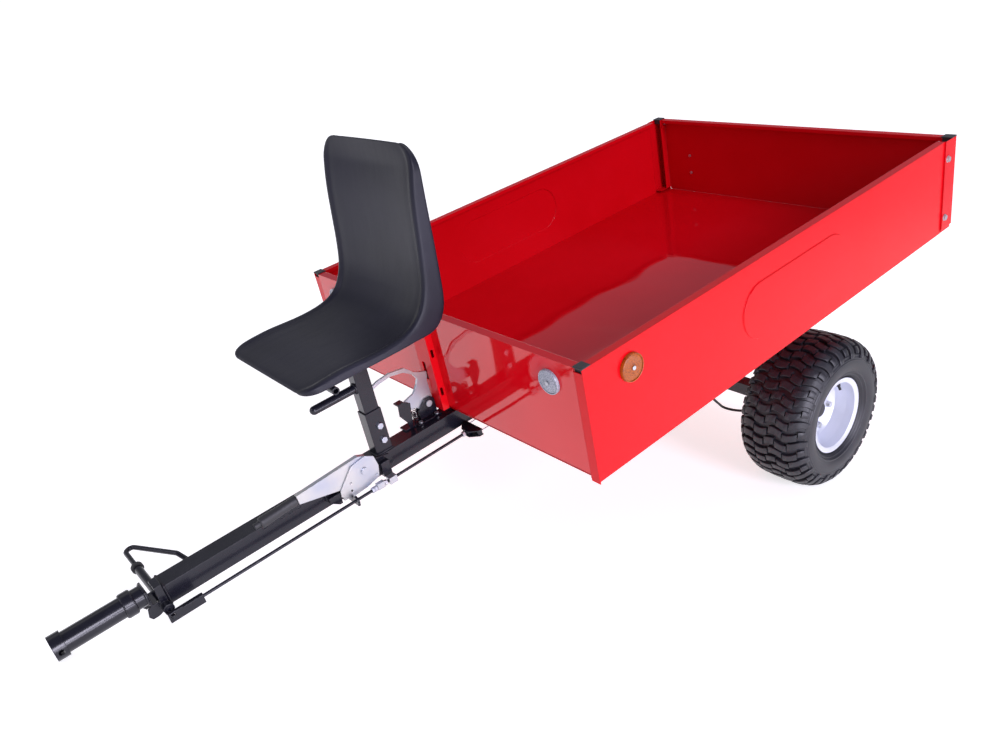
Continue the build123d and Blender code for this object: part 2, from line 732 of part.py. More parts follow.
SOCKET_TOP = BAR_TOP + 119.0
POST_BOLT_Z = (BAR_TOP + 74.0, BAR_TOP + 33.0)
POST_BOLT_Y = POST_Y + 6.0
HANDLE_Z = POST_TOP - 122.0
HANDLE_RADIUS = 11.0


def hollow_post(length, thick, wall, low, high):
    """An upright rectangular tube on the drawbar's middle line."""
    x, y = thick / 2, length / 2
    outer = block((-x, x), (POST_Y - y, POST_Y + y), (low, high))
    x -= wall
    y -= wall
    return outer - block((-x, x), (POST_Y - y, POST_Y + y), (low - 1, high + 1))


def post_socket():
    """The wider stub on the drawbar that the seat post is bolted into."""
    wall = POST_WALL - GAP
    socket = hollow_post(POST_LENGTH + 2 * POST_WALL, POST_THICK + 2 * POST_WALL, wall, BAR_TOP, SOCKET_TOP)
    for z in POST_BOLT_Z:
        socket = socket - rod_x(-POST_LENGTH, POST_LENGTH, POST_BOLT_Y, z, POST_BOLT_RADIUS + 0.1)
    return socket


POST_BOLT_RADIUS = 4.9


def seat_post():
    """The upright tube from the stub to the seat plate."""
    body = hollow_post(POST_LENGTH, POST_THICK, POST_WALL, BAR_TOP + GAP, POST_TOP)
    for z in POST_BOLT_Z:
        body = body - rod_x(-POST_LENGTH, POST_LENGTH, POST_BOLT_Y, z, POST_BOLT_RADIUS + 0.1)
    front = POST_Y - POST_LENGTH / 2
    return body - rod_y(0, front - 5, front + POST_WALL + 1, HANDLE_Z, HANDLE_RADIUS)


def post_bolts_seat():
    """Two through bolts holding the post in its stub."""
    bolts = []
    face = POST_THICK / 2 + POST_WALL
    for z in POST_BOLT_Z:
        shank = rod_x(-face, face, POST_BOLT_Y, z, POST_BOLT_RADIUS)
        heads = [hex_x(x, x + 6, POST_BOLT_Y, z, 15) for x in (face, -face - 6)]
        bolts.append(shank + heads[0] + heads[1])
    return bolts


def handle_bar():
    """The short lifting bar in front of the seat post, rounded at its end."""
    front = POST_Y - 133
    bar = rod_y(0, front, POST_Y - POST_LENGTH / 2 + POST_WALL, HANDLE_Z, HANDLE_RADIUS)
    return bar + Pos(0, front, HANDLE_Z) * Sphere(HANDLE_RADIUS)


def seat_bracket():
    """The seat plate on the post, with ears down to the cross tube."""
    plate = block((-80, 80), (-345, -130), (POST_TOP, POST_TOP + 4))
    parts = [plate]
    for side in SIDES:
        ear = [(-356, -12), (-330, -12), (-300, POST_TOP), (-345, POST_TOP)]
        parts.append(plate_x(ear, *mirrored(side, 74, 80)))
    body = parts[0] + parts[1] + parts[2]
    return body - rod_x(-90, 90, SEAT_TUBE_Y, SEAT_TUBE_Z, 9)


SEAT_TUBE_Y = -343.0
SEAT_TUBE_Z = 1.0


def seat_cross_tube():
    """The round cross tube under the seat's front edge, open ended."""
    return rod_x(-150, 150, SEAT_TUBE_Y, SEAT_TUBE_Z, 9) - rod_x(-151, 151, SEAT_TUBE_Y, SEAT_TUBE_Z, 6)


SEAT_PAN = [
    (-428, 42), (-410, 49), (-330, 55), (-230, 52), (-160, 60),
    (-118, 84), (-92, 128), (-78, 190), (-60, 330), (-34, 447),
]
SEAT_BACK = [(-25, 448), (-34, 250), (-38, 110), (-52, 62), (-84, 40), (-200, 36), (-330, 36)]


def seat_shell():
    """A one-piece moulded seat: dished pan and back with a skirt down both sides."""
    thick = 5.0
    rear = [(y + thick, z - thick) for y, z in reversed(SEAT_PAN)]
    rear[0] = (SEAT_PAN[-1][0] + thick, SEAT_PAN[-1][1])
    rear[-1] = (SEAT_PAN[0][0] + 2, SEAT_PAN[0][1] - thick)
    half = SEAT_WIDTH / 2
    skin = plate_x(SEAT_PAN + rear, -half, half)
    skirt_line = SEAT_PAN + SEAT_BACK
    skirts = [plate_x(skirt_line, *mirrored(side, half - 5, half)) for side in SIDES]
    shell = skin + skirts[0] + skirts[1]
    tops = [(-half, 200), (-half + 14, 448), (-half, 448)]
    for side in SIDES:
        taper = plate_y([(side * x, z) for x, z in tops], -200, 20)
        nose = [(side * half, -430), (side * (half - 12), -430), (side * half, -395)]
        cut = extrude(make_face(Polyline(*nose, close=True)), 120)
        shell = shell - taper - cut
    return shell


def seat_bolts():
    """Four dome screws that hold the shell to its plate."""
    bolts = []
    for x in (-55, 55):
        for y in (-310, -215):
            bolts.append(rod_z(x, y, POST_TOP - 6, POST_TOP, 7))
    return bolts


def seat_spacers():
    """Four rubber pads between the seat plate and the shell."""
    pads = []
    for x in (-55, 55):
        for y in (-310, -225):
            pads.append(rod_z(x, y, POST_TOP + 4, POST_TOP + 20, 12))
    return pads


# ---- handbrake ----

BRACKET_X = BAR_HALF + 4.0
BRACKET_DROP = 50.0
LEVER_X = (BAR_HALF + 5.0, BAR_HALF + 18.0)
SECTOR_X = (BAR_HALF + 19.0, BAR_HALF + 22.0)


def at_brake(shape):
    """Puts a piece that is drawn about the handbrake's pivot in its place."""
    return Pos(0, BRAKE_Y, BRAKE_Z) * shape


def brake_hole(radius):
    return rod_x(0, 2 * BAR_SIZE, 0, 0, radius)


def handbrake_bracket():
    """The black plate on the drawbar's side that carries the handbrake."""
    outline = [
        (-106, -6), (-76, -2), (-34, 10), (28, 10), (84, -6), (92, -32), (74, -BRACKET_DROP),
        (-84, -BRACKET_DROP), (-109, -32),
    ]
    plate = plate_x(outline, BAR_HALF, BRACKET_X)
    boss = rod_x(BRACKET_X, LEVER_X[0] - GAP, 0, 0, 12)
    rear_spacer = block((BRACKET_X, SECTOR_X[0]), (48, 72), (-BRACKET_DROP, -10))
    corner = [(-106, -34), (-106, -20), (-76, -20), (-76, -BRACKET_DROP), (-84, -BRACKET_DROP)]
    front_spacer = plate_x(corner, BRACKET_X, SECTOR_X[0])
    return at_brake(plate + boss + rear_spacer + front_spacer - brake_hole(BRAKE_PIN_RADIUS + 0.1))


def handbrake_sector():
    """The zinc side plate with its rounded back and small holes."""
    outline = [
        (-30, 30), (12, 37), (34, 24), (40, -6), (34, -36), (-4, -46), (-56, -BRACKET_DROP), (-76, -32),
        (-74, -17),
    ]
    plate = plate_x(outline, *SECTOR_X)
    for y, z in ((-43, -10), (-46, -31), (28, -26)):
        plate = plate - rod_x(SECTOR_X[0] - 1, SECTOR_X[1] + 1, y, z, 3)
    front_tab = block((BRACKET_X, SECTOR_X[0]), (-70, -54), (-48, -36))
    rear_tab = block((BRACKET_X, SECTOR_X[0]), (20, 34), (-38, -26))
    return at_brake(plate + front_tab + rear_tab - brake_hole(BRAKE_PIN_RADIUS + 0.1))


def handbrake_pivot():
    """The pivot bolt of the handbrake lever."""
    end = SECTOR_X[1] + GAP
    return at_brake(rod_x(BAR_HALF, end + 1, 0, 0, BRAKE_PIN_RADIUS) + rod_x(end, end + 4, 0, 0, 9))


def handbrake_lever():
    """The zinc channel lever lying forward along the drawbar."""
    low, high = LEVER_X
    outline = [(-178, 34), (-4, 43), (16, 34), (20, 4), (0, -16), (-34, -18), (-70, -16), (-176, 10)]
    hollow = [(-184, 24), (-44, 30), (-22, 24), (-22, -24), (-70, -24), (-184, 2)]
    body = plate_x(outline, low, high) - plate_x(hollow, low + 2, high - 2)
    return at_brake(body - brake_hole(BRAKE_PIN_RADIUS + RUNNING))


GRIP_X = (LEVER_X[0] + LEVER_X[1]) / 2
GRIP_START = (-178.2, 22.0)
GRIP_END = (-276.0, 17.5)
GRIP_RADIUS = 13.5
BUTTON_RADIUS = 7.0


def along_grip(start, end, radius):
    """A round bar lying on the grip's axis between two distances from its root."""
    dy = GRIP_END[0] - GRIP_START[0]
    dz = GRIP_END[1] - GRIP_START[1]
    length = math.hypot(dy, dz)
    along = Vector(0, dy / length, dz / length)
    root = Vector(GRIP_X, *GRIP_START)
    path = Line(root + along * start, root + along * end)
    return at_brake(sweep(Plane(origin=path @ 0, z_dir=along) * Circle(radius), path=path))


def handbrake_grip():
    """The black grip, hollow at its end for the release button."""
    grip = along_grip(0, 98, GRIP_RADIUS)
    grip = fillet(grip.edges().filter_by(GeomType.CIRCLE), 4)
    return grip - along_grip(70, 110, BUTTON_RADIUS)


def handbrake_button():
    """The sprung release button in the end of the grip."""
    return along_grip(78, 112, BUTTON_RADIUS - RUNNING)


# ---- foot pedal and brake rod ----

def pedal_rod():
    """The pedal's shaft, its long arm and the treadle bar, bent from one rod."""
    points = [
        (CRANK_X[1], PEDAL_Y, PEDAL_Z),
        (-285, PEDAL_Y, PEDAL_Z),
        (-122, PEDAL_Y + 86, PEDAL_Z + 2),
        (-90, PEDAL_Y + 100, PEDAL_Z - 16),
    ]
    return bent_rod(points, PEDAL_RADIUS, 12)


def pedal_ring():
    """The rubber ring that keeps the shaft in its bearing tube."""
    return rod_x(-161, -151, PEDAL_Y, PEDAL_Z, 14) - rod_x(-162, -150, PEDAL_Y, PEDAL_Z, PEDAL_RADIUS)


CRANK_DROP = 12.0
CRANK_PIN = 4.0
CRANK_X = (SLEEVE_END + 1.0, SLEEVE_END + 14.0)


def pedal_crank():
    """The round end plate on the shaft, with its offset crank pin."""
    x0, x1 = CRANK_X
    pin_z = PEDAL_Z - CRANK_DROP
    disc = rod_x(x0, x1, PEDAL_Y, PEDAL_Z, 12) + rod_x(x0, x0 + 5, PEDAL_Y, pin_z, 10)
    disc = disc - rod_x(x0 - 1, x1 + 1, PEDAL_Y, PEDAL_Z, PEDAL_RADIUS)
    return disc + rod_x(x0 + 5, ROD_X + 8, PEDAL_Y, pin_z, CRANK_PIN)


ROD_RADIUS = 4.0
ROD_FRONT = BAR_FRONT + 59.0


def rod_fork():
    """The channel fork that ties the crank pin to the brake rod."""
    y0 = PEDAL_Y - 10
    z = PEDAL_Z - CRANK_DROP
    slot_y = CRANK_PIN + 0.4
    web = block((ROD_X - 4, ROD_X + 4), (y0, ROD_FRONT), (z - 14, z + 10))
    top = block((ROD_X - 4, ROD_X + 7), (y0 + 34, ROD_FRONT), (z + 7, z + 10))
    slot = block((ROD_X - 10, ROD_X + 10), (PEDAL_Y - slot_y, PEDAL_Y + slot_y), (z - 5.5, z + 5.5))
    return web + top - slot


def brake_rod():
    """The straight pull rod beside the drawbar."""
    return rod_y(ROD_X, ROD_FRONT, 2, ROD_Z, ROD_RADIUS)


def rod_nuts():
    """Adjusting nuts, link collar and stop block along the pull rod."""
    hole = rod_y(ROD_X, ROD_FRONT - 10, 10, ROD_Z, ROD_RADIUS)
    nuts = [hex_y(ROD_X, y, y + 7, ROD_Z, 13) - hole for y in (-300, -292, -262, -12)]
    nuts.append(block((ROD_X - 9, ROD_X + 9), (-250, -228), (ROD_Z - 9, ROD_Z + 9)) - hole)
    return nuts


def rod_link():
    """The zinc link clamped on the rod that the handbrake pulls through its slot."""
    plate = block((ROD_X - 6, ROD_X + 6), (-284, -263), (ROD_Z - 7, ROD_Z + 10))
    return plate - rod_y(ROD_X, -300, -250, ROD_Z, ROD_RADIUS)


def link_guide():
    """The fixed black eye that the pull rod runs through."""
    plate = block((BAR_HALF, ROD_X + 10), (-348, -342), (ROD_Z - 12, BRAKE_Z - BRACKET_DROP))
    eye = rod_y(ROD_X, -348, -342, ROD_Z, 12)
    return plate + eye - rod_y(ROD_X, -349, -341, ROD_Z, ROD_RADIUS + RUNNING)


WIRE_SPREAD = 28.0
WIRE_RADIUS = 1.5
SHEATH_RADIUS = 4.0
SHEATH_BEND = 50.0
SHEATH_START = 150.0
CABLE_END_Y = WHEEL_Y - 54.0
CABLE_END_Z = WHEEL_Z - 21.0


def balancer():
    """The yoke that shares the rod's pull between the two brake wires."""
    reach = WIRE_SPREAD + 8
    outline = [(-reach, 30), (reach, 30), (reach, 18), (14, -2), (-14, -2), (-reach, 18)]
    shape = make_face(Polyline(*outline, close=True))
    plates = []
    for z in (ROD_Z + 6, ROD_Z - 9):
        plates.append(Pos(ROD_X, 0, z) * extrude(shape, 3))
    spine = block((ROD_X - 8, ROD_X + 8), (2, 14), (ROD_Z - 6, ROD_Z + 6))
    return plates[0] + plates[1] + spine


def wire_rollers():
    """The two round wire holders in the balancer."""
    rollers = []
    for side in SIDES:
        x = ROD_X + side * WIRE_SPREAD
        roller = rod_z(x, 24, ROD_Z - 6, ROD_Z + 6, 7.5)
        rollers.append(roller - rod_y(x, 22, 40, ROD_Z, WIRE_RADIUS))
    return rollers


def brake_wires():
    """The bare wires from the balancer to the sheath ends."""
    wires = []
    for side in SIDES:
        x = ROD_X + side * WIRE_SPREAD
        wires.append(rod_y(x, 22, SHEATH_START + 22, ROD_Z, WIRE_RADIUS))
    return wires


def sheath_stop():
    """The bracket on the drawbar that holds both sheath ends."""
    y0 = SHEATH_START + 8
    arm = block((BAR_HALF, ROD_X + WIRE_SPREAD + 12), (y0, y0 + 6), (ROD_Z - 12, ROD_Z + 12))
    foot = block((BAR_HALF, BAR_HALF + 5), (y0, y0 + 50), (BAR_BOTTOM + 2, BAR_TOP - 8))
    arm = arm + foot
    for side in SIDES:
        arm = arm - rod_y(ROD_X + side * WIRE_SPREAD, y0 - 1, y0 + 60, ROD_Z, 6)
    return arm


def sheath_ends():
    """The adjuster barrels that hold the sheath ends in the stop."""
    ends = []
    for side in SIDES:
        x = ROD_X + side * WIRE_SPREAD
        barrel = rod_y(x, SHEATH_START, SHEATH_START + 40, ROD_Z, 6)
        bore = rod_y(x, SHEATH_START - 1, SHEATH_START + 26, ROD_Z, WIRE_RADIUS + RUNNING)
        socket = rod_y(x, SHEATH_START + 26, SHEATH_START + 41, ROD_Z, SHEATH_RADIUS)
        ends.append(barrel - bore - socket)
    return ends


def brake_sheath(side):
    """One outer cable, from its stop under the bed to the brake on its side."""
    x = ROD_X + side * WIRE_SPREAD
    inner = side * 110
    end_x = side * (RIM_MIDDLE - 88)
    points = [
        (x, SHEATH_START + 26, ROD_Z), (x, 250, ROD_Z), (x, 310, ROD_Z - 26), (inner, 440, ROD_Z - 36),
        (side * 250, 700, WHEEL_Z + 129), (side * 225, CABLE_END_Y - 20, WHEEL_Z - 61),
        (side * 300, CABLE_END_Y, CABLE_END_Z - 22), (side * 335, CABLE_END_Y, CABLE_END_Z),
        (end_x, CABLE_END_Y, CABLE_END_Z),
    ]
    return bent_rod(points, SHEATH_RADIUS, SHEATH_BEND)


# ---- tipping latch ----

LATCH_FOOT = BAR_TOP - LATCH_Z
LATCH_THICK = 7.0
CHEEK_GAP = LATCH_THICK / 2 + 0.9
CHEEK_WALL = 4.0
SPRING_Y = -43.0
SPRING_RADIUS = 8.5


def at_latch(shape):
    """Puts a piece that is drawn about the latch's pivot in its place."""
    return Pos(LATCH_X, LATCH_Y, LATCH_Z) * shape


def latch_base():
    """The black clevis on the drawbar that the latch lever pivots in."""
    foot = LATCH_FOOT
    top = foot + 4
    body = block((-14, 26), (-55, 19), (foot, top)) + block((-12, 16), (-90, -55), (foot, top))
    guard = [(-65, foot), (-56, 33), (-66, 40), (-76, 46), (-91, 41), (-94, 11), (-76, -18), (-74, foot)]
    body = body + plate_x(guard, 12, 16) + block((-6, 16), (-92, -72), (40, 44))
    outline = [(-34, top), (-34, -8), (-17, 10), (-9, 16), (9, 16), (17, 10), (19, 4), (19, top)]
    for x in (-CHEEK_GAP - CHEEK_WALL, CHEEK_GAP):
        body = body + plate_x(outline, x, x + CHEEK_WALL)
    return at_latch(body - rod_x(-BAR_SIZE, BAR_SIZE, 0, 0, LATCH_PIN_RADIUS))


def latch_pin():
    """The zinc pivot pin of the latch, with a wide head."""
    face = CHEEK_GAP + CHEEK_WALL
    pin = rod_x(-face - 3.6, face + 3.6, 0, 0, LATCH_PIN_RADIUS)
    return at_latch(pin + rod_x(face, face + 3.6, 0, 0, 9))


def latch_lever():
    """The zinc hook plate with its nose just in front of the channel and its long curved finger."""
    nose_y = LATCH_NOSE
    outline = [
        (-11, 78), (-17, 64), (-33, 44), (-63, 36), (-75, 18), (-71, 8), (-37, 4), (-19, -12), (0, -18),
        (14, -12), (17, 8), (15, 60), (nose_y, 72), (nose_y, 86), (1, 92), (-15, 100), (-39, 124), (-83, 131),
        (-121, 127), (-145, 119), (-142, 111), (-119, 118), (-83, 122), (-45, 114), (-21, 96),
    ]
    body = plate_x(outline, -LATCH_THICK / 2, LATCH_THICK / 2)
    return at_latch(body - rod_x(-BAR_SIZE, BAR_SIZE, 0, 0, LATCH_PIN_RADIUS + RUNNING))


LATCH_NOSE = -CHANNEL_DEPTH - LATCH_Y - 1.5


def latch_spring():
    """A plain sleeve in the place of the coil spring under the lever's toe."""
    coil = rod_z(0, SPRING_Y, LATCH_FOOT + 4 + GAP, 0, SPRING_RADIUS)
    return at_latch(coil - rod_z(0, SPRING_Y, LATCH_FOOT, 20, SPRING_RADIUS - 2.5))


def latch_screws():
    """Screws that hold the latch base to the drawbar."""
    return [at_latch(rod_z(20, y, LATCH_FOOT + 4, LATCH_FOOT + 8, 5.5)) for y in (-43, 9)]


def both(function):
    """The left and right copies of a piece as one list."""
    return [function(side) for side in SIDES]


def axle_frame():
    """The axle beam with its legs, bolster, braces and the tipping bearing tube."""
    return [axle_beam(), bolster(), tip_hinge_tube()] + axle_legs() + axle_braces()


def chassis_parts():
    """Pieces fixed to the drawbar and the axle."""
    return {
        "drawbar": drawbar(),
        "drawbar_front_plate": [front_plate(), pedal_sleeve()],
        "hitch_tube": hitch_tube(),
        "hitch_collars": [hitch_tip_collar(), hitch_stop_collar()],
        "axle_frame": axle_frame(),
        "stub_axles": stub_axles(),
        "brake_backplates": brake_backplates(),
        "rubber_pads": [rest_pad()] + seat_spacers(),
        "frame_bolts": post_bolts_seat() + latch_screws() + seat_bolts(),
        "seat_post_socket": post_socket(),
        "seat_post": seat_post(),
        "handle_bar": handle_bar(),
        "seat_bracket": [seat_bracket(), seat_cross_tube()],
        "seat_shell": seat_shell(),
        "handbrake_bracket": handbrake_bracket(),
        "handbrake_sector": handbrake_sector(),
        "handbrake_pivot": handbrake_pivot(),
        "cable_brackets": [link_guide(), sheath_stop()],
        "sheath_ends": sheath_ends(),
        "brake_sheaths": both(brake_sheath),
        "latch_base": latch_base(),
        "latch_pin": latch_pin(),
        "latch_spring": latch_spring(),
    }


def control_parts():
    """The brake pedal, handbrake, pull rod and tipping latch."""
    return {
        "latch_lever": latch_lever(),
        "handbrake_lever": handbrake_lever(),
        "handbrake_grip": handbrake_grip(),
        "handbrake_button": handbrake_button(),
        "pedal_rod": pedal_rod(),
        "pedal_ring": pedal_ring(),
        "pedal_crank": pedal_crank(),
        "brake_rod": [brake_rod(), rod_fork()],
        "rod_fittings": rod_nuts() + [rod_link()],
        "balancer": [balancer()] + wire_rollers(),
        "brake_wires": brake_wires(),
    }


def bed_parts():
    """The tipping bed, its tailgate and the two drop bolts."""
    return {
        "bed_floor": bed_floor(),
        "bed_frame": bed_ribs() + bed_crossers() + [bed_sills()] + hinge_lugs(),
        "front_panel": front_panel(),
        "side_panel_left": side_panel(-1),
        "side_panel_right": side_panel(1),
        "rear_posts": both(rear_post),
        "corner_caps": corner_caps(),
        "clear_reflectors": clear_reflectors(),
        "amber_reflectors": amber_reflectors(),
        "reflector_screws": reflector_screws(),
        "bed_bolts": post_bolts() + gate_pins() + [tip_pin()],
        "latch_channel": latch_channel(),
        "tailgate_panel": tailgate_panel(),
        "gate_guides": gate_guides() + gate_bolts_inside(),
        "gate_bolt_left": gate_bolt(-1),
        "gate_bolt_right": gate_bolt(1),
    }


def wheel_parts(name, side):
    """The turning pieces of one wheel."""
    return {
        f"tyre_{name}": at_wheel(side, tyre()),
        f"rim_{name}": at_wheel(side, rim()),
        f"hub_drum_{name}": at_wheel(side, hub_drum()),
        f"lug_bolts_{name}": [at_wheel(side, bolt) for bolt in lug_bolts()],
        f"tyre_valve_{name}": at_wheel(side, tyre_valve()),
    }


def parts():
    """Every named piece of the cart, in the level cart frame."""
    return {
        **chassis_parts(),
        **control_parts(),
        **bed_parts(),
        **wheel_parts("left", -1),
        **wheel_parts("right", 1),
    }


def nose_down():
    """The tilt that puts the hitch tip and both tyres on one flat floor."""
    dy = WHEEL_Y - HITCH_TIP
    dz = WHEEL_Z - (HITCH_Z - COLLAR_RADIUS)
    return math.degrees(math.asin(TYRE_RADIUS / math.hypot(dy, dz)) - math.atan2(dz, dy))


def standing():
    """The move from the cart frame to the floor, with the origin under the cart's middle."""
    tilt = math.radians(nose_down())

    def turned(y, z):
        return y * math.cos(tilt) - z * math.sin(tilt), y * math.sin(tilt) + z * math.cos(tilt)

    front = turned(HITCH_TIP, HITCH_Z + COLLAR_RADIUS)[0]
    front = min(front, turned(HITCH_TIP, HITCH_Z - COLLAR_RADIUS)[0])
    rear = turned(BED_LENGTH + SILL_PROUD, UNDER - 3)[0]
    rear = max(rear, turned(GATE_BOLT_Y + KNOB_REACH, KNOB_Z)[0] + KNOB_RADIUS)
    floor = turned(WHEEL_Y, WHEEL_Z)[1] - TYRE_RADIUS
    return Location((0, -(front + rear) / 2, -floor), (math.degrees(tilt), 0, 0))


def main():
    os.makedirs("parts", exist_ok=True)
    move = standing()
    for name, piece in parts().items():
        solids = piece if isinstance(piece, list) else [piece]
        placed = [solid.moved(move) for solid in solids]
        shape = placed[0] if len(placed) == 1 else Compound(children=placed)
        export_step(shape, f"parts/{name}.step")


if __name__ == "__main__":
    main()
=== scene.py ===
import json
import math
import random

import bpy
from mathutils import Matrix, Vector


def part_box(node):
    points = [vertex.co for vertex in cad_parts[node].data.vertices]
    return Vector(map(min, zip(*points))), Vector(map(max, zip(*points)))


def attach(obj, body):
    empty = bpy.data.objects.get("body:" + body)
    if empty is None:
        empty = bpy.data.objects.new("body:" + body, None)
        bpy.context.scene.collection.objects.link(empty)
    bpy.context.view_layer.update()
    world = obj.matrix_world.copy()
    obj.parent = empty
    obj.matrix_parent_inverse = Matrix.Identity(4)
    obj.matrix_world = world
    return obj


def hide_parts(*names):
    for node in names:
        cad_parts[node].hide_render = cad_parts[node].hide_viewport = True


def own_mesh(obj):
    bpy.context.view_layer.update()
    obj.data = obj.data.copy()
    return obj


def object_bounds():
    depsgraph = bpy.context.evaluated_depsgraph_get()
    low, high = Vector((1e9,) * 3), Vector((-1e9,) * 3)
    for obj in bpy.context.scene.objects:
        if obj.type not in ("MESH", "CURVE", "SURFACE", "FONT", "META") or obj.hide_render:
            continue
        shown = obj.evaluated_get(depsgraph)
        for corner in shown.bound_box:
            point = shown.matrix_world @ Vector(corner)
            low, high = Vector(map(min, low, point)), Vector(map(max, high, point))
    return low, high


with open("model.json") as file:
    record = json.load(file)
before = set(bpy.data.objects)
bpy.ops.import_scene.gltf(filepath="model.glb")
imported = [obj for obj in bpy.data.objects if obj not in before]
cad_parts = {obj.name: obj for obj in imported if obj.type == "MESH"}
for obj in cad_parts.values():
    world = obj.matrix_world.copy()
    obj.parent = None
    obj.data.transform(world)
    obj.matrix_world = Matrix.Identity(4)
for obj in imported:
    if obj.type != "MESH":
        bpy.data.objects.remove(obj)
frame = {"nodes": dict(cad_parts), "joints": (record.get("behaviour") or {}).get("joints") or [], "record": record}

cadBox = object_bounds()
nodes = frame["nodes"]
record = frame["record"]
joints = {joint["name"]: joint for joint in frame["joints"]}
mounts = {mount["name"]: mount for mount in record["mounts"]}
print("frame loaded:", len(nodes), "nodes")

# The cart stands nose-down. Pieces are drawn level, with Y along the bed from its front sheet,
# Z up from its top edge, and cartMatrix tips them into place.
cart = {"bedLength": 1.560, "floorDepth": 0.278}


def tippedFrame():
    floor = mounts["load_floor"]
    up = Vector(floor["axis"]).normalized()
    back = up.cross(Vector((1, 0, 0))).normalized()
    origin = Vector(floor["pos_m"]) - back * cart["bedLength"] / 2 + up * cart["floorDepth"]
    turn = Matrix((Vector((1, 0, 0)), back, up)).transposed()
    return Matrix.Translation(origin) @ turn.to_4x4()


cartMatrix = tippedFrame()
levelMatrix = cartMatrix.inverted()
sides = {"left": -1, "right": 1}


def middleOf(node):
    low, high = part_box(node)
    return (low + high) / 2


# Shader maths: a socket that can be added, scaled and mixed as a plain value.
class Wire:
    def __init__(self, tree, socket=None):
        self.tree = tree
        self.socket = socket

    def node(self, kind, settings, values, output=0):
        made = self.tree.nodes.new(kind)
        for name, value in settings.items():
            if name == "stops":
                ramp = made.color_ramp.elements
                while len(ramp) < len(value):
                    ramp.new(0.5)
                for element, (place, shade) in zip(ramp, value):
                    element.position = place
                    element.color = shade
            else:
                setattr(made, name, value)
        for name, value in values.items():
            if isinstance(value, Wire):
                self.tree.links.new(value.socket, made.inputs[name])
            else:
                made.inputs[name].default_value = value
        return Wire(self.tree, made.outputs[output] if made.outputs else None)

    def math(self, operation, first, second=0.0):
        return self.node("ShaderNodeMath", {"operation": operation}, {0: first, 1: second})

    def __add__(self, other):
        return self.math("ADD", self, other)

    def __radd__(self, other):
        return self.math("ADD", other, self)

    def __sub__(self, other):
        return self.math("SUBTRACT", self, other)

    def __rsub__(self, other):
        return self.math("SUBTRACT", other, self)

    def __mul__(self, other):
        return self.math("MULTIPLY", self, other)

    def __rmul__(self, other):
        return self.math("MULTIPLY", other, self)

    def __truediv__(self, other):
        return self.math("DIVIDE", self, other)

    def clamped(self, low=0.0, high=1.0):
        return self.math("MINIMUM", self.math("MAXIMUM", self, low), high)

    def between(self, dark, light):    # this value picks a colour between two
        return self.node("ShaderNodeMix", {"data_type": "RGBA"}, {0: self, 6: dark, 7: light}, 2)

    def spread(self, scale):    # a place scaled unevenly along its three axes
        return self.node("ShaderNodeVectorMath", {"operation": "MULTIPLY"}, {0: self, 1: scale})

    def noise(self, scale, detail=3.0, roughness=0.5):
        values = {"Vector": self, "Scale": scale, "Detail": detail, "Roughness": roughness}
        return self.node("ShaderNodeTexNoise", {}, values)

    def steps(self, *stops):
        return self.node("ShaderNodeValToRGB", {"stops": [(p, (v, v, v, 1)) for p, v in stops]}, {0: self})

    def bump(self, strength, distance, edge=0.0):    # edge: radius of a worn, rounded edge
        values = {"Height": self, "Strength": strength, "Distance": distance}
        if edge:
            values["Normal"] = self.node("ShaderNodeBevel", {"samples": 6}, {"Radius": edge})
        return self.node("ShaderNodeBump", {}, values)


def rgb(red, green, blue):
    return (red, green, blue, 1.0)


def newFinish(name):
    finish = bpy.data.materials.new(name)
    finish.use_nodes = True
    finish.node_tree.nodes.clear()
    wire = Wire(finish.node_tree)
    place = wire.node("ShaderNodeTexCoord", {}, {}, "Object")
    return finish, wire, place


def closeFinish(wire, values):
    shader = wire.node("ShaderNodeBsdfPrincipled", {}, values)
    wire.node("ShaderNodeOutputMaterial", {}, {"Surface": shader})


# Gloss powder coat: a faint orange-peel skin, slow drifts of tone and a little shop dust.
redSettings = {
    "deep": rgb(0.56, 0.0012, 0.0050),
    "bright": rgb(0.63, 0.0018, 0.0075),
    "worn": rgb(0.62, 0.0030, 0.0100),
    "roughness": 0.15,
    "haze": 1.0,
    "specular": 0.17,
    "coat": 0.03,
    "coatRoughness": 0.10,
    "edge": 0.0014,
    "wave": 22.0,
}
# the wide thin sheets mirror more sharply and wave more
panSettings = dict(redSettings, roughness=0.03, haze=0.2, specular=0.45, coat=0.20, coatRoughness=0.02,
                   wave=120.0)
blackSettings = {
    "deep": rgb(0.0035, 0.0035, 0.0075),
    "bright": rgb(0.0070, 0.0070, 0.0130),
    "worn": rgb(0.014, 0.014, 0.023),
    "roughness": 0.17,
    "haze": 1.0,
    "specular": 0.38,
    "coat": 0.14,
    "coatRoughness": 0.10,
    "edge": 0.0026,
    "wave": 9.0,
}


def powderCoat(name, paint):
    finish, wire, place = newFinish(name)
    drift = place.noise(2.2, 2.0)
    peel = place.noise(520.0, 2.0, 0.6)
    handled = place.noise(14.0, 5.0, 0.65)
    tone = drift.steps((0.32, 0.0), (0.70, 1.0)).between(paint["deep"], paint["bright"])
    rubbed = (handled.steps((0.50, 0.0), (0.85, 1.0)) * 0.5).clamped()
    blur = (peel * 0.05 + handled * 0.10) * paint["haze"]
    skin = peel * paint["haze"] + place.noise(3.1, 1.0) * paint["wave"]
    closeFinish(wire, {
        "Base Color": rubbed.between(tone, paint["worn"]),
        "Roughness": (paint["roughness"] + blur).clamped(0.02, 0.9),
        "Specular IOR Level": paint["specular"],
        "Coat Weight": paint["coat"],
        "Coat Roughness": paint["coatRoughness"],
        "Normal": skin.bump(0.10, 0.0005, paint["edge"]),
    })
    return finish


# Bright zinc plate: bluish white with a slightly warm passivation cloud and rolling marks.
zincSettings = {"cool": rgb(0.46, 0.49, 0.56), "warm": rgb(0.56, 0.56, 0.55), "roughness": 0.26}


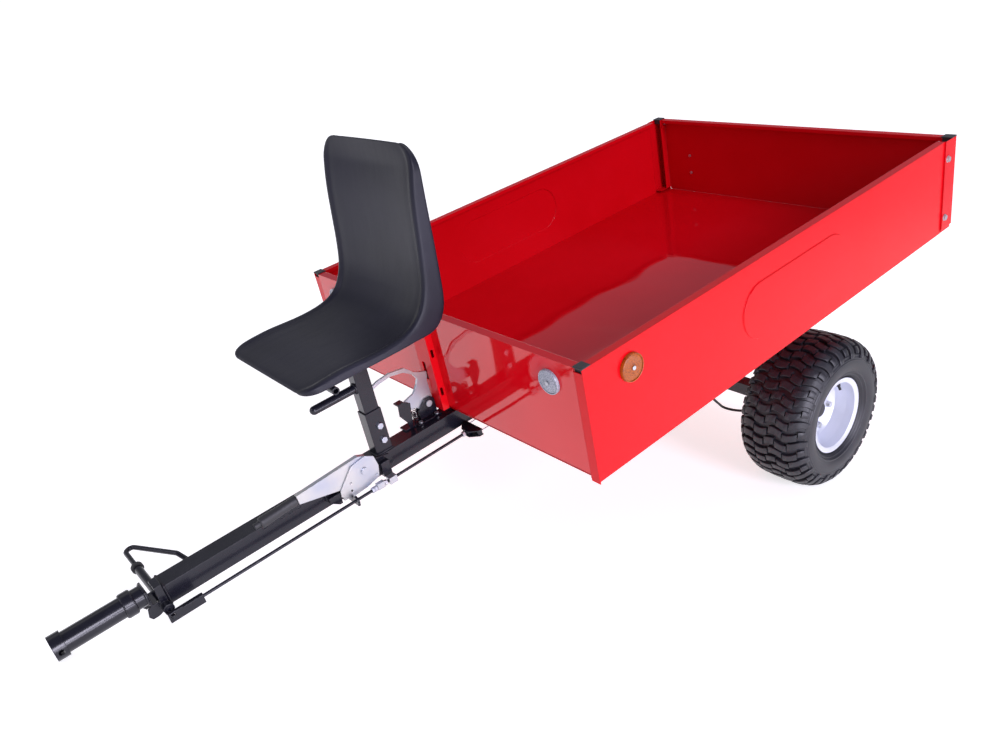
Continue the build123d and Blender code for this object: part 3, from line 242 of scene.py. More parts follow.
def zincPlate(name, plate, grain):
    finish, wire, place = newFinish(name)
    cloud = place.noise(16.0, 3.0)
    streak = place.spread((grain, 40.0, grain)).noise(6.0, 4.0, 0.7)
    closeFinish(wire, {
        "Base Color": cloud.steps((0.35, 0.0), (0.68, 1.0)).between(plate["cool"], plate["warm"]),
        "Metallic": 0.92,
        "Roughness": (plate["roughness"] + cloud * 0.14 + streak * 0.10).clamped(0.1, 0.8),
        "Normal": streak.bump(0.12, 0.0003, 0.0008),
    })
    return finish


# Moulded plastic with a fine pebbled grain.
seatSettings = {"deep": rgb(0.0060, 0.0058, 0.0125), "bright": rgb(0.0100, 0.0096, 0.0200), "roughness": 0.36,
                "specular": 0.30, "grain": 900.0, "depth": 0.16}
trimSettings = {"deep": rgb(0.014, 0.014, 0.016), "bright": rgb(0.028, 0.028, 0.031), "roughness": 0.42,
                "specular": 0.45, "grain": 1300.0, "depth": 0.18}


def mouldedPlastic(name, plastic):
    finish, wire, place = newFinish(name)
    drift = place.noise(5.0, 3.0)
    pebble = place.node("ShaderNodeTexVoronoi", {"feature": "SMOOTH_F1"},
                        {"Vector": place, "Scale": plastic["grain"], "Smoothness": 0.6})
    scuff = place.spread((30.0, 4.0, 4.0)).noise(3.0, 5.0, 0.65)
    closeFinish(wire, {
        "Base Color": drift.steps((0.3, 0.0), (0.7, 1.0)).between(plastic["deep"], plastic["bright"]),
        "Roughness": (plastic["roughness"] + scuff * 0.12 + pebble * 0.06).clamped(0.1, 0.9),
        "Specular IOR Level": plastic["specular"],
        "Normal": pebble.bump(plastic["depth"], 0.0004, 0.0012),
    })
    return finish


# Vulcanised rubber: matt, a little chalky where it has bloomed.
tyreSettings = {"deep": rgb(0.007, 0.007, 0.010), "bright": rgb(0.015, 0.015, 0.021),
                "bloom": rgb(0.032, 0.032, 0.040), "roughness": 0.38}
rubberSettings = {"deep": rgb(0.008, 0.008, 0.009), "bright": rgb(0.018, 0.018, 0.020),
                  "bloom": rgb(0.034, 0.034, 0.036), "roughness": 0.50}


def vulcanised(name, rubber):
    finish, wire, place = newFinish(name)
    drift = place.noise(9.0, 4.0)
    pores = place.noise(480.0, 3.0, 0.65)
    tone = drift.steps((0.3, 0.0), (0.72, 1.0)).between(rubber["deep"], rubber["bright"])
    bloom = (place.noise(30.0, 5.0, 0.7).steps((0.50, 0.0), (0.85, 1.0)) * 0.6).clamped()
    closeFinish(wire, {
        "Base Color": bloom.between(tone, rubber["bloom"]),
        "Roughness": (rubber["roughness"] + pores * 0.15 + bloom * 0.12).clamped(0.2, 0.95),
        "Normal": pores.bump(0.22, 0.0006),
    })
    return finish


# Silver paint on the pressed rims.
rimSettings = {"cool": rgb(0.58, 0.60, 0.68), "bright": rgb(0.74, 0.76, 0.84), "roughness": 0.31}


def silverPaint(name, paint):
    finish, wire, place = newFinish(name)
    drift = place.noise(7.0, 3.0)
    flake = place.noise(1500.0, 1.0)
    closeFinish(wire, {
        "Base Color": (drift * 0.7 + flake * 0.3).clamped().between(paint["cool"], paint["bright"]),
        "Metallic": 0.55,
        "Roughness": (paint["roughness"] + drift * 0.10 + flake * 0.05).clamped(0.1, 0.8),
        "Coat Weight": 0.35,
        "Coat Roughness": 0.15,
        "Normal": flake.bump(0.05, 0.0002, 0.0012),
    })
    return finish


# Cast iron hub under thin black paint.
castSettings = {"deep": rgb(0.018, 0.018, 0.019), "bright": rgb(0.045, 0.043, 0.042), "roughness": 0.52}


def castIron(name, iron):
    finish, wire, place = newFinish(name)
    lumps = place.noise(90.0, 4.0, 0.6)
    sand = place.noise(700.0, 2.0, 0.6)
    closeFinish(wire, {
        "Base Color": lumps.steps((0.3, 0.0), (0.75, 1.0)).between(iron["deep"], iron["bright"]),
        "Metallic": 0.2,
        "Roughness": (iron["roughness"] + sand * 0.18).clamped(0.2, 0.95),
        "Normal": (lumps * 0.7 + sand * 0.3).bump(0.35, 0.0008, 0.0010),
    })
    return finish


# Turned steel of the stub axles.
steelSettings = {"deep": rgb(0.40, 0.40, 0.41), "bright": rgb(0.58, 0.57, 0.56), "roughness": 0.24}


def turnedSteel(name, steel):
    finish, wire, place = newFinish(name)
    rings = place.spread((900.0, 1.0, 1.0)).noise(1.0, 2.0)
    closeFinish(wire, {
        "Base Color": rings.between(steel["deep"], steel["bright"]),
        "Metallic": 1.0,
        "Roughness": (steel["roughness"] + rings * 0.2).clamped(0.1, 0.8),
        "Normal": rings.bump(0.15, 0.0002),
    })
    return finish


# Reflector plastic: small cube-corner prisms under a polished face. The base colour is painted sparkle: each prism
# cell painted bright in its middle and dark at its rim, with a noise of painted glints.
# deep and bright: painted sparkle, dark at the prism rims and bright at their middles
clearSettings = {"deep": rgb(0.16, 0.17, 0.20), "bright": rgb(0.60, 0.61, 0.70),
                 "roughness": 0.16, "coat": 0.4}
amberSettings = {"deep": rgb(0.17, 0.028, 0.001), "bright": rgb(0.60, 0.14, 0.002),
                 "roughness": 0.24, "coat": 0.0}


def reflectorLens(name, lens):
    finish, wire, place = newFinish(name)
    cellSparkle = place.node("ShaderNodeTexVoronoi", {"feature": "F1"}, {"Vector": place, "Scale": 420.0})
    paintedGlint = place.noise(120.0, 2.0)
    closeFinish(wire, {
        # painted sparkle and painted glints in the base colour
        "Base Color": (cellSparkle * 1.1 + paintedGlint * 0.3).clamped().between(lens["bright"], lens["deep"]),
        "Roughness": (lens["roughness"] + cellSparkle * 0.15).clamped(0.05, 0.6),
        "Coat Weight": lens["coat"],
        "Coat Roughness": 0.05,
        "Normal": cellSparkle.bump(0.30, 0.0006),
    })
    return finish


finishes = {
    "red_paint": powderCoat("redPowderCoat", redSettings),
    "black_paint": powderCoat("blackPowderCoat", blackSettings),
    "zinc": zincPlate("brightZinc", zincSettings, 8.0),
    "steel": turnedSteel("turnedSteel", steelSettings),
    "seat_plastic": mouldedPlastic("seatPlastic", seatSettings),
    "black_plastic": mouldedPlastic("trimPlastic", trimSettings),
    "rubber": vulcanised("softRubber", rubberSettings),
    "sheath": vulcanised("cableSheath", dict(rubberSettings, roughness=0.38)),
    "tyre": vulcanised("tyreRubber", tyreSettings),
    "rim_silver": silverPaint("rimSilver", rimSettings),
    "cast_hub": castIron("castHub", castSettings),
    "clear_lens": reflectorLens("clearLens", clearSettings),
    "amber_lens": reflectorLens("amberLens", amberSettings),
}
print("finishes made:", len(finishes))


# Every solid of the frame keeps its mesh and takes its slot's finish.
def dressNode(name, slotName):
    for slot in nodes[name].material_slots:
        slot.material = finishes[slotName]


for part in record["subparts"]:
    dressNode(part["node"], part["material_slot"])
panFinish = powderCoat("redSheetCoat", panSettings)
for name in ("bed_floor", "front_panel"):
    nodes[name].material_slots[0].material = panFinish
print("frame nodes dressed")


def newPiece(name, points, faces, body, slotName, matrix=None, sharpAngle=40.0):
    mesh = bpy.data.meshes.new(name)
    mesh.from_pydata([tuple(point) for point in points], [], faces)
    mesh.transform(cartMatrix if matrix is None else matrix)
    mesh.validate()
    mesh.shade_smooth()
    mesh.set_sharp_from_angle(angle=math.radians(sharpAngle))
    mesh.materials.append(finishes[slotName])
    piece = bpy.data.objects.new(name, mesh)
    bpy.context.scene.collection.objects.link(piece)
    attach(piece, body)
    return piece


def gridFaces(rows, columns, closeRows=False, closeColumns=False, start=0):
    faces = []
    for row in range(rows if closeRows else rows - 1):
        following = (row + 1) % rows
        for column in range(columns if closeColumns else columns - 1):
            beside = (column + 1) % columns
            faces.append((start + row * columns + column, start + row * columns + beside,
                          start + following * columns + beside, start + following * columns + column))
    return faces


# A smooth curve through a list of points, at a share of its length from 0 to 1.
def along(points, share):
    spans = len(points) - 1
    at = min(max(share, 0.0), 1.0) * spans
    index = min(int(at), spans - 1)
    t = at - index
    before = points[max(index - 1, 0)]
    first = points[index]
    second = points[index + 1]
    after = points[min(index + 2, spans)]
    return [
        0.5 * (2 * b + (c - a) * t + (2 * a - 5 * b + 4 * c - d) * t * t + (3 * b - a - 3 * c + d) * t ** 3)
        for a, b, c, d in zip(before, first, second, after)
    ]


# The moulded seat: a dished pan and back with a rolled rim and a deep skirt.
seat = {
    "pan": [(-0.428, 0.040), (-0.410, 0.049), (-0.330, 0.055), (-0.230, 0.052),
            (-0.160, 0.060), (-0.118, 0.084), (-0.092, 0.128), (-0.078, 0.190),
            (-0.060, 0.330), (-0.040, 0.420), (-0.034, 0.447)],
    "skirt": [(-0.426, 0.036), (-0.409, 0.036), (-0.330, 0.036), (-0.224, 0.036),
              (-0.150, 0.037), (-0.086, 0.042), (-0.050, 0.084), (-0.039, 0.170),
              (-0.031, 0.320), (-0.026, 0.415), (-0.026, 0.446)],
    # across the seat: (share of half width, how much of the dish, lift of the rolled bead)
    "across": [(0.0, 1.0, 0.0), (0.18, 0.97, 0.0), (0.36, 0.86, 0.0), (0.54, 0.64, 0.0),
               (0.70, 0.38, 0.0), (0.82, 0.16, 0.0), (0.875, 0.07, -0.5), (0.90, 0.03, 0.1),
               (0.93, 0.0, 0.9), (0.955, 0.0, 1.0), (0.98, 0.0, 0.55), (0.995, 0.0, -0.3)],
    "halfWidth": 0.190,
    "cornerFront": 0.045,
    "cornerTop": 0.055,
    "dish": (0.004, 0.013),
    "bead": 0.0035,
    "wall": 0.0045,
    "rows": 96,
}


def seatHalfWidth(fromFront, fromTop):
    width = seat["halfWidth"]
    for gap, corner in ((fromFront, seat["cornerFront"]), (fromTop, seat["cornerTop"])):
        if gap < corner:
            width -= corner - math.sqrt(max(corner ** 2 - (corner - gap) ** 2, 0.0))
    return width


def moldSeat():
    rows = seat["rows"]
    pan = [Vector((0, *along(seat["pan"], row / (rows - 1)))) for row in range(rows)]
    skirt = [Vector((0, *along(seat["skirt"], row / (rows - 1)))) for row in range(rows)]
    travelled = [0.0]
    for first, second in zip(pan, pan[1:]):
        travelled.append(travelled[-1] + (second - first).length)
    points = []
    for row in range(rows):
        ahead = pan[min(row + 1, rows - 1)] - pan[max(row - 1, 0)]
        normal = Vector((1, 0, 0)).cross(ahead).normalized()
        width = seatHalfWidth(travelled[row], travelled[-1] - travelled[row])
        ends = min(travelled[row], travelled[-1] - travelled[row]) / 0.05
        upright = min(max((row / rows - 0.36) / 0.22, 0.0), 1.0)
        depth = (seat["dish"][0] + (seat["dish"][1] - seat["dish"][0]) * upright) * min(ends, 1.0)
        half = []
        for share, dish, bead in seat["across"]:
            lift = bead * seat["bead"] * min(ends, 1.0) - dish * depth
            half.append(pan[row] + normal * lift + Vector((share * width, 0, 0)))
        for drop in (0.12, 0.45, 0.80, 1.0):
            half.append(pan[row].lerp(skirt[row], drop) + Vector((width * (1.0 + 0.010 * drop), 0, 0)))
        mirror = [Vector((-point.x, point.y, point.z)) for point in reversed(half[1:])]
        points.extend(mirror + half)
    columns = len(points) // rows
    faces = gridFaces(rows, columns)
    piece = newPiece("seatMoulding", points, faces, "chassis", "seat_plastic", sharpAngle=80)
    wall = piece.modifiers.new("wall", "SOLIDIFY")
    wall.thickness = seat["wall"]
    wall.offset = -1.0
    wall.use_even_offset = True
    smooth = piece.modifiers.new("smooth", "SUBSURF")
    smooth.levels = 1
    smooth.render_levels = 1
    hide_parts("seat_shell")


moldSeat()
print("seat moulded")


# Turf tyre: a smooth carcass with beads and rings, under rows of wavy, staggered tread bars.
tyre = {
    "profile": [(0.0, 0.2182), (0.030, 0.2177), (0.058, 0.2152), (0.078, 0.2078),
                (0.094, 0.1940), (0.1030, 0.1790), (0.1065, 0.1640), (0.1055, 0.1480),
                (0.1000, 0.1340), (0.0915, 0.1225), (0.0850, 0.1170), (0.0835, 0.1080)],
    "rings": ((0.1860, 0.0020, 0.0026), (0.1775, 0.0008, 0.0011), (0.1720, 0.0008, 0.0011),
              (0.1330, 0.0026, 0.0026), (0.1255, 0.0012, 0.0013)),
    "treadReach": 0.120,
    "rows": 42,
    "barShare": 0.61,
    "barHeight": 0.0102,
    "wave": 0.0042,
    "waveLength": 0.078,
    "step": 0.10,
    "centreGroove": 0.0050,
    "slit": 0.0026,
    "crown": 0.22,
    "inside": [(0.0745, 0.1045), (0.068, 0.120), (0.076, 0.152)],
    "insideCrown": 0.203,
    "cuts": {"even": (-0.006, -0.070, -0.034, 0.0), "odd": (0.006, -0.082, -0.044, 0.012)},
    "turns": 144,
}


def tyreSection():
    # the half section as evenly spaced points with their distance from the crown
    fine = [Vector((*along(tyre["profile"], step / 240), 0)) for step in range(241)]
    reach = [0.0]
    for first, second in zip(fine, fine[1:]):
        reach.append(reach[-1] + (second - first).length)
    return fine, reach


sectionPoints, sectionReach = tyreSection()


def onSection(distance):
    # place and outward direction on the half section, a distance from the crown either way
    wanted = abs(distance)
    index = 1
    while index < len(sectionReach) - 1 and sectionReach[index] < wanted:
        index += 1
    first, second = sectionPoints[index - 1], sectionPoints[index]
    span = sectionReach[index] - sectionReach[index - 1]
    spot = first.lerp(second, (wanted - sectionReach[index - 1]) / span)
    run = (second - first).normalized()
    outward = Vector((-run.y, run.x, 0))
    if outward.y < 0 and spot.y > 0.19:
        outward = -outward
    if distance < 0:
        return Vector((-spot.x, spot.y, 0)), Vector((-outward.x, outward.y, 0))
    return spot, outward


def onWheel(across, radius, angle):
    return Vector((across, radius * math.sin(angle), radius * math.cos(angle)))


def carcass():
    reaches = [0.09 * step / 12 for step in range(12)]
    reaches += [0.09 + (sectionReach[-1] - 0.09) * step / 110 for step in range(111)]
    half = []
    for distance in reaches:
        spot = onSection(distance)[0]
        swell = sum(height * math.exp(-((spot.y - at) / width) ** 2) for at, height, width in tyre["rings"])
        half.append(spot + Vector((swell, 0, 0)))
    right = half + [Vector((*spot, 0)) for spot in tyre["inside"]]
    crown = Vector((0, tyre["insideCrown"], 0))
    ring = [Vector((-p.x, p.y, 0)) for p in reversed(right[1:])] + right + [crown]
    turns = tyre["turns"]
    points = [onWheel(p.x, p.y, 2 * math.pi * turn / turns) for turn in range(turns) for p in ring]
    return points, gridFaces(turns, len(ring), True, True)


def treadBar(points, faces, row, low, high, shift):
    pitch = 2 * math.pi / tyre["rows"]
    stations = max(3, round((high - low) / 0.006))
    half = 0.5 * tyre["barShare"] * pitch
    inset = 0.0010 / tyre["crown"]
    ring = []
    for step in range(stations + 1):
        distance = low + (high - low) * step / stations
        spot, outward = onSection(distance)
        edge = max((tyre["treadReach"] - abs(distance)) / 0.03, 0.0)
        height = tyre["barHeight"] * (0.42 + 0.58 * min(edge, 1.0))
        wave = tyre["wave"] * math.sin(2 * math.pi * distance / tyre["waveLength"])
        middle = (row + shift) * pitch + wave / tyre["crown"]
        drop = 0.0013 if step in (0, stations) else 0.0
        rise = ((-0.0015, half + inset), (height - 0.0013, half), (height - drop, half - inset * 1.5))
        ring.extend((spot + outward * lift, middle - spread) for lift, spread in rise)
        ring.extend((spot + outward * lift, middle + spread) for lift, spread in reversed(rise))
    start = len(points)
    points.extend(onWheel(spot.x, spot.y, angle) for spot, angle in ring)
    faces.extend(gridFaces(stations + 1, 6, start=start))
    faces.append(tuple(start + index for index in range(5, -1, -1)))
    faces.append(tuple(start + stations * 6 + index for index in range(6)))


def treadRow(points, faces, row):
    middle, outer, inner, shorter = tyre["cuts"]["odd" if row % 2 else "even"]
    reach = tyre["treadReach"] - shorter
    cuts = [outer + middle, inner + middle, middle, middle - inner, middle - outer]
    edges = [-reach, *cuts, reach]
    for index, (low, high) in enumerate(zip(edges, edges[1:])):
        gapLow = tyre["centreGroove"] if low == middle else tyre["slit"]
        gapHigh = tyre["centreGroove"] if high == middle else tyre["slit"]
        low += gapLow / 2 if index else 0.0
        high -= gapHigh / 2 if index < len(cuts) else 0.0
        treadBar(points, faces, row, low, high, tyre["step"] * (1 if index % 2 else -1))


def mountTyre(side):
    points, faces = carcass()
    for row in range(tyre["rows"]):
        treadRow(points, faces, row)
    hub = Matrix.Translation(middleOf(f"tyre_{side}"))
    piece = newPiece(f"turfTyre_{side}", points, faces, f"wheel_{side}", "tyre", hub, 34)
    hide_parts(f"tyre_{side}")


for side in sides:
    mountTyre(side)
print("tyres mounted")


# Round reflectors: a raised bezel round a ribbed, slightly domed lens with a screw hole.
reflector = {"clear": 0.030, "amber": 0.033, "depth": 0.009, "bezel": 0.0032, "ribPitch": 0.0030,
             "ribDepth": 0.0008, "dome": 0.0012, "hole": 0.0032, "rings": 40, "turns": 120}


def reflectorDisc(radius, depth):
    rings = reflector["rings"]
    turns = reflector["turns"]
    inner = radius - reflector["bezel"]
    heights = []
    for ring in range(rings + 1):
        share = ring / rings
        heights.append((reflector["hole"] + (inner - reflector["hole"]) * share, share))
    points = []
    for turn in range(turns):
        angle = 2 * math.pi * turn / turns
        for out, share in heights:
            x, y = out * math.cos(angle), out * math.sin(angle)
            rib = reflector["ribDepth"] * abs(math.sin(math.pi * x / reflector["ribPitch"]))
            flat = min(1.0, share * 8, (1 - share) * 14)
            points.append((x, y, depth - 0.0022 + reflector["dome"] * (1 - share ** 2) + rib * flat))
        for out, high in ((inner + 0.0002, depth - 0.0004), (inner + 0.0009, depth),
                          (radius - 0.0010, depth - 0.0002), (radius - 0.0001, depth - 0.0014),
                          (radius, 0.0001), (reflector["hole"], 0.0001)):
            points.append((out * math.cos(angle), out * math.sin(angle), high))
    return points, gridFaces(turns, len(points) // turns, True, True)


def fixReflectors(colour):
    node = f"{colour}_reflectors"
    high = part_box(node)[1]
    radius = reflector[colour]
    depth = reflector["depth"]
    level = cartMatrix.to_3x3()
    for name, side in sides.items():
        points, faces = reflectorDisc(radius, depth)
        spot = middleOf(node)
        if colour == "amber":
            spot.x = side * (high.x - depth)
            turn = level @ Matrix(((0, 0, side), (side, 0, 0), (0, 1, 0)))
        else:
            spot.x = side * (high.x - radius)
            spot += level @ Vector((0, depth / 2, 0))
            turn = level @ Matrix(((1, 0, 0), (0, 0, -1), (0, 1, 0)))
        matrix = Matrix.Translation(spot) @ turn.to_4x4()
        piece = newPiece(f"{colour}Reflector_{name}", points, faces, "bed", f"{colour}_lens", matrix, 50)
        if side > 0:
            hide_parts(node)


fixReflectors("clear")
fixReflectors("amber")
print("reflectors fixed")


# A tube of a given radius swept along a list of points, closed at both ends.
def sweptTube(path, radius, turns=10):
    points = []
    side = None
    for index, spot in enumerate(path):
        run = (path[min(index + 1, len(path) - 1)] - path[max(index - 1, 0)]).normalized()
        side = (Vector((0, 0, 1)) if abs(run.z) < 0.9 else Vector((1, 0, 0))) if side is None else side
        side = (side - run * side.dot(run)).normalized()
        across = run.cross(side)
        for turn in range(turns):
            angle = 2 * math.pi * turn / turns
            points.append(spot + (side * math.cos(angle) + across * math.sin(angle)) * radius)
    faces = gridFaces(len(path), turns, closeColumns=True)
    faces.append(tuple(range(turns - 1, -1, -1)))
    faces.append(tuple(len(points) - turns + turn for turn in range(turns)))
    return points, faces


# The tipping latch's coil spring. On the cart it shortens as the lever is pulled; here it is wound at one length
# and rides the chassis.
spring = {"coilRadius": 0.0072, "wire": 0.0013, "turns": 6.5, "stepsPerTurn": 24}


def windSpring():
    low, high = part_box("latch_spring")
    up = cartMatrix.to_3x3() @ Vector((0, 0, 1))
    across = high.x - low.x
    height = ((high.z - low.z) - across * abs(up.y)) / up.z
    middle = levelMatrix @ middleOf("latch_spring")
    steps = round(spring["turns"] * spring["stepsPerTurn"])
    path = []
    for step in range(steps + 1):
        share = step / steps
        angle = 2 * math.pi * spring["turns"] * share
        rise = (height - 2 * spring["wire"]) * (share - 0.5 + 0.02 * math.sin(2 * math.pi * share))
        spot = Vector((math.cos(angle), math.sin(angle), 0)) * spring["coilRadius"]
        path.append(middle + spot + Vector((0, 0, rise)))
    points, faces = sweptTube(path, spring["wire"], 8)
    piece = newPiece("latchCoilSpring", points, faces, "chassis", "black_paint")
    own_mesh(piece)
    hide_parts("latch_spring")


windSpring()


# Handbrake grip: waisted, with a rolled end round the button and shallow finger rings.
grip = {"length": 0.098, "turns": 40, "hole": 0.0072, "holeDepth": 0.026,
        "shape": [(0.0, 0.0100), (0.002, 0.0118), (0.008, 0.0124), (0.030, 0.0121), (0.060, 0.0128),
                  (0.082, 0.0137), (0.092, 0.0136), (0.0965, 0.0122), (0.098, 0.0098)]}


def moldGrip():
    press = Vector(joints["release_button_press"]["axis"]).normalized()
    outward = -press
    root = middleOf("handbrake_grip") - outward * grip["length"] / 2
    side = Vector((1, 0, 0))
    up = outward.cross(side).normalized()
    ring = [(0.0001, 0.0), (grip["shape"][0][1] * 0.6, 0.0)]
    for step in range(61):
        distance, radius = along(grip["shape"], step / 60)
        ridge = 0.00035 * math.cos(2 * math.pi * distance / 0.0060) if 0.012 < distance < 0.078 else 0.0
        ring.append((radius + ridge, distance))
    ring += [(grip["hole"] + 0.0008, grip["length"] - 0.0002), (grip["hole"], grip["length"] - 0.0012),
             (grip["hole"], grip["length"] - grip["holeDepth"]), (0.0001, grip["length"] - grip["holeDepth"])]
    points = []
    for turn in range(grip["turns"]):
        angle = 2 * math.pi * turn / grip["turns"]
        for radius, distance in ring:
            flat = 1.0 + 0.06 * math.cos(2 * angle)
            reach = side * math.cos(angle) / flat + up * math.sin(angle) * flat
            points.append(root + outward * distance + reach * radius)
    faces = gridFaces(grip["turns"], len(ring), True)
    piece = newPiece("handbrakeGrip", points, faces, "handbrake", "black_plastic", Matrix.Identity(4), 45)
    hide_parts("handbrake_grip")


moldGrip()
print("spring and grip made")


# Folded closers that finish the bed's two rear corners, where the posts stop short of the floor.
closer = {"outer": 0.5620, "inner": 0.5582, "post": 0.5313, "front": 1.5005, "rear": 1.5576,
          "low": -0.2795, "high": -0.2699, "steps": 6, "fold": 0.0030}


def closerOutline(thickness):
    # seen from above, on the right: along the side sheet, round the fold, then inwards along the tail
    inner = closer["outer"] - thickness
    rear = closer["rear"] - thickness
    fold = closer["fold"]
    outline = [(inner, closer["front"])]
    for step in range(closer["steps"] + 1):
        angle = math.pi / 2 * step / closer["steps"]
        outline.append((inner - fold * (1 - math.cos(angle)), rear - fold * (1 - math.sin(angle))))
    outline.append((closer["post"], rear))
    return outline


def foldClosers():
    for name, side in sides.items():
        outline = closerOutline(0.0) + closerOutline(closer["outer"] - closer["inner"])[::-1]
        points = [(side * x, y, high) for high in (closer["low"], closer["high"]) for x, y in outline]
        count = len(outline)
        faces = gridFaces(2, count, closeColumns=True)
        half = count // 2
        for start in (0, count):
            for step in range(half - 1):
                mirror = 2 * half - 1 - step
                faces.append(tuple(start + corner for corner in (step, step + 1, mirror - 1, mirror)))
        newPiece(f"cornerCloser_{name}", points, faces, "bed", "red_paint", sharpAngle=30)


# The rolled edge along the rear of the floor, under the tail sheet.
rolledEdge = {"reach": 0.5310, "place": 1.5572, "height": -0.2784, "radius": 0.0011, "stations": 24}


def rollRearEdge():
    last = rolledEdge["stations"] - 1
    reaches = [rolledEdge["reach"] * (2 * station / last - 1) for station in range(last + 1)]
    path = [Vector((reach, rolledEdge["place"], rolledEdge["height"])) for reach in reaches]
    points, faces = sweptTube(path, rolledEdge["radius"])
    newPiece("floorRearEdge", points, faces, "bed", "red_paint")


foldClosers()
rollRearEdge()
print("rear corners and edge closed")


# Weld beads: a rippled fillet laid along each welded joint of the chassis. A flat loop is given by its
# middle and its two half sizes, a ring by its middle and radius, and the nose rings by place and radius.
weld = {
    "radius": 0.0030,
    "ripple": 0.0026,
    "turns": 8,
    "barLow": -0.337,
    "socket": ((0, -0.215, -0.287), 0.018, 0.024),
    "post": ((0, -0.215, 0.0235), 0.015, 0.020),
    "barPlate": ((0, -0.808, -0.312), 0.025, 0.025),
    "nose": ((-0.847, 0.0245), (-0.872, 0.0250), (-0.892, 0.0250)),
    "noseHeight": -0.297,
    "brace": ((0, -0.2355, -0.098), 0.0115),
    "bolster": ((0.0255, 0.960, -0.312), 0.0175),
    "leg": ((0.175, 0.934, -0.387), 0.025, 0.025),
    "legFoot": -0.609,
    "bolsterFoot": (0.025, (0.909, 0.959)),
}


def weldAlong(corners, closed):
    path = []
    loop = corners + corners[:1] if closed else corners
    for first, second in zip(loop, loop[1:]):
        steps = max(2, round((second - first).length / (weld["ripple"] / 3)))
        path.extend(first.lerp(second, step / steps) for step in range(steps))
    path.append(loop[-1])
    return path


def beadMesh(path, points, faces):
    start = len(points)
    made, madeFaces = sweptTube(path, weld["radius"], weld["turns"])
    turns = weld["turns"]
    for index, spot in enumerate(path):
        swell = 1.0 + 0.16 * math.sin(2 * math.pi * index / 3.0) + random.uniform(-0.06, 0.06)
        for turn in range(turns):
            points.append(spot + (made[index * turns + turn] - spot) * swell)
    faces.extend(tuple(start + corner for corner in face) for face in madeFaces)


def circlePath(middle, first, second, radius, steps=90):
    turns = [2 * math.pi * step / steps for step in range(steps + 1)]
    return [middle + (first * math.cos(turn) + second * math.sin(turn)) * radius for turn in turns]


def layWelds():
    random.seed(7)
    x, y, z = Vector((1, 0, 0)), Vector((0, 1, 0)), Vector((0, 0, 1))
    points, faces = [], []

    def loop(middle, first, second, alongFirst, alongSecond):
        reaches = ((-1, -1), (1, -1), (1, 1), (-1, 1))
        corners = [Vector(middle) + first * alongFirst * a + second * alongSecond * b for a, b in reaches]
        beadMesh(weldAlong(corners, True), points, faces)

    loop(weld["socket"][0], x, y, *weld["socket"][1:])
    loop(weld["post"][0], x, y, *weld["post"][1:])
    loop(weld["barPlate"][0], x, z, *weld["barPlate"][1:])
    for place, radius in weld["nose"]:
        beadMesh(circlePath(Vector((0, place, weld["noseHeight"])), x, z, radius), points, faces)
    beadMesh(circlePath(Vector(weld["brace"][0]), x, z, weld["brace"][1]), points, faces)
    foot, ends = weld["bolsterFoot"]
    for side in sides.values():
        mirror = Vector((side, 1, 1))
        beadMesh(circlePath(Vector(weld["bolster"][0]) * mirror, y, z, weld["bolster"][1]), points, faces)
        leg = Vector(weld["leg"][0]) * mirror
        loop(leg, x, y, *weld["leg"][1:])
        loop((leg.x, leg.y, weld["legFoot"]), x, y, *weld["leg"][1:])
        run = [Vector((side * foot, end, weld["barLow"])) for end in ends]
        beadMesh(weldAlong(run, False), points, faces)
    newPiece("chassisWelds", points, faces, "chassis", "black_paint", sharpAngle=80)


layWelds()
print("welds laid")


# A plain pale studio: a floor that glows behind and below the cart, a bright backdrop, soft lamps.
studio = {
    "floorSize": 60.0,
    "glowEndX": (2.3, 3.4),
    "glowEndY": (-4.2, -3.0),
    "floorColour": (rgb(0.80, 0.80, 0.81), rgb(0.84, 0.84, 0.84)),
    "glowColour": (rgb(0.12, 0.12, 0.13), rgb(1.0, 1.0, 1.0)),
    "glow": 0.66,
    "backdrop": rgb(1.05, 1.05, 1.05),
    "air": rgb(0.23, 0.235, 0.29),
    "behind": (-0.77, 0.64, 0),
    "hood": 0.75,
    "tint": (0.97, 0.94, 1.13),
    "sun": {"from": (3.4, -0.8, 1.35), "power": 2.0, "angle": 22.0},
    "lamps": (
        ("lowSideLamp", (3.3, -0.1, 0.34), (3.4, 0.5), 60.0),
        ("overheadLamp", (0.6, 0.2, 4.0), (1.6, 1.6), 15.0),
        ("fillLamp", (-1.2, -4.2, 2.2), (2.0, 2.0), 26.0),
    ),
}


def buildFloor():
    mesh = bpy.data.meshes.new("studioFloor")
    low = cadBox[0].z
    size = studio["floorSize"]
    corners = [(-size, -size, low), (size, -size, low), (size, size, low), (-size, size, low)]
    mesh.from_pydata(corners, [], [(0, 1, 2, 3)])
    finish, wire, place = newFinish("studioFloor")
    placeX = wire.node("ShaderNodeSeparateXYZ", {}, {0: place}, 0)
    placeY = wire.node("ShaderNodeSeparateXYZ", {}, {0: place}, 1)
    (nearX, farX), (nearY, farY) = studio["glowEndX"], studio["glowEndY"]
    lit = ((farX - placeX) / (farX - nearX)).clamped() * ((placeY - nearY) / (farY - nearY)).clamped()
    closeFinish(wire, {"Base Color": place.noise(0.6, 2.0).between(*studio["floorColour"]), "Roughness": 0.9,
                       "Specular IOR Level": 0.1, "Emission Strength": studio["glow"],
                       "Emission Color": lit.between(*studio["glowColour"])})
    mesh.materials.append(finish)
    floor = bpy.data.objects.new("studioFloor", mesh)
    bpy.context.scene.collection.objects.link(floor)


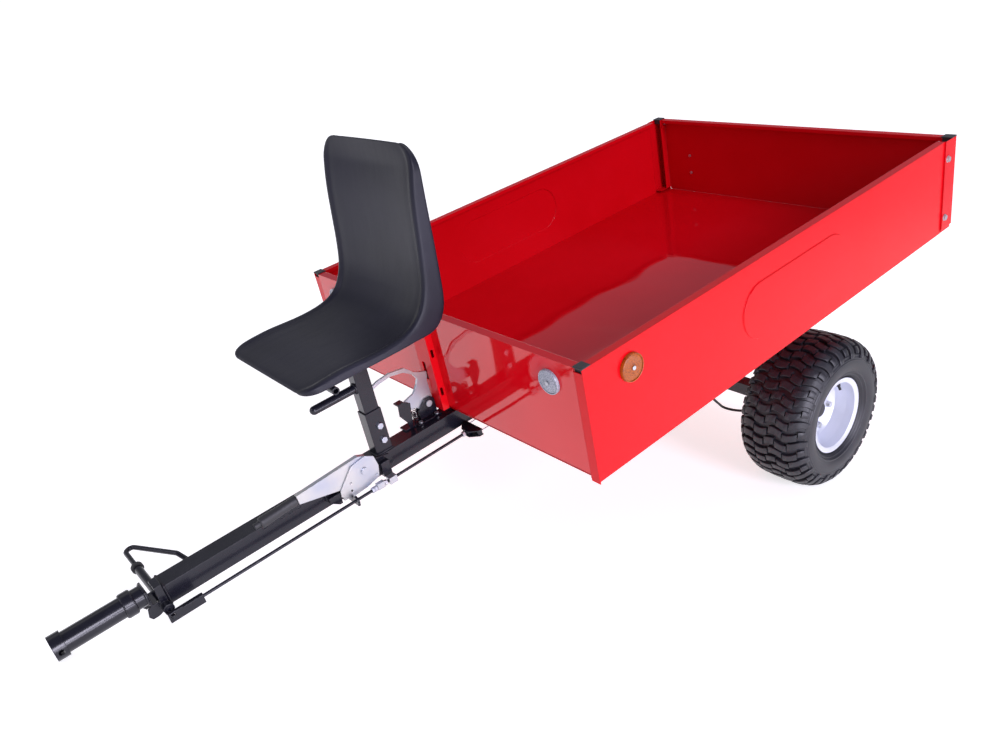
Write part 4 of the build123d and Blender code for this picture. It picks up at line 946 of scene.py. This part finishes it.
def buildSky():
    world = bpy.data.worlds.new("studioSky")
    world.use_nodes = True
    world.node_tree.nodes.clear()
    wire = Wire(world.node_tree)
    sky = wire.node("ShaderNodeTexCoord", {}, {}, "Generated")
    rise = wire.node("ShaderNodeSeparateXYZ", {}, {0: sky}, 2)
    behind = wire.node("ShaderNodeVectorMath", {"operation": "DOT_PRODUCT"}, {0: sky, 1: studio["behind"]}, 1)
    lit = behind.steps((0.15, 0.0), (0.45, 1.0)) * rise.steps((0.20, 1.0), (0.34, 0.0))
    hood = behind.steps((0.18, 0.0), (0.21, 1.0)) * rise.steps((0.605, 0.0), (0.625, 1.0)) * studio["hood"]
    shade = (lit + hood).clamped().between(studio["air"], studio["backdrop"])
    light = wire.node("ShaderNodeBackground", {}, {"Color": shade, "Strength": 1.0})
    wire.node("ShaderNodeOutputWorld", {}, {"Surface": light})
    bpy.context.scene.world = world


def hangLamp(name, kind, energy, spot, turn):
    lamp = bpy.data.lights.new(name, kind)
    lamp.energy = energy
    lamp.color = studio["tint"]
    holder = bpy.data.objects.new(name, lamp)
    holder.location = spot
    holder.rotation_euler = turn.to_euler()
    bpy.context.scene.collection.objects.link(holder)
    return lamp


def lightStudio():
    sun = studio["sun"]
    turn = Vector(sun["from"]).to_track_quat("Z", "Y")
    hangLamp("softSun", "SUN", sun["power"], (0, 0, 3), turn).angle = math.radians(sun["angle"])
    target = (cadBox[0] + cadBox[1]) / 2
    for name, spot, size, power in studio["lamps"]:
        turn = (target - Vector(spot)).to_track_quat("-Z", "Y")
        lamp = hangLamp(name, "AREA", power, spot, turn)
        lamp.shape = "RECTANGLE"
        lamp.size = size[0]
        lamp.size_y = size[1]


view = {"place": (1.7055, -1.5022, 1.1478), "turn": (70.734, -0.748, 50.354), "lens": 30.84,
        "sensor": 36.0, "near": 0.05, "far": 200.0}


def setCamera():
    camera = bpy.data.cameras.new("showCamera")
    camera.lens = view["lens"]
    camera.sensor_width = view["sensor"]
    camera.clip_start = view["near"]
    camera.clip_end = view["far"]
    holder = bpy.data.objects.new("showCamera", camera)
    holder.location = view["place"]
    holder.rotation_euler = [math.radians(angle) for angle in view["turn"]]
    bpy.context.scene.collection.objects.link(holder)
    bpy.context.scene.camera = holder
    bpy.context.scene.view_settings.view_transform = "Standard"


buildFloor()
buildSky()
lightStudio()
setCamera()
print("studio lit")
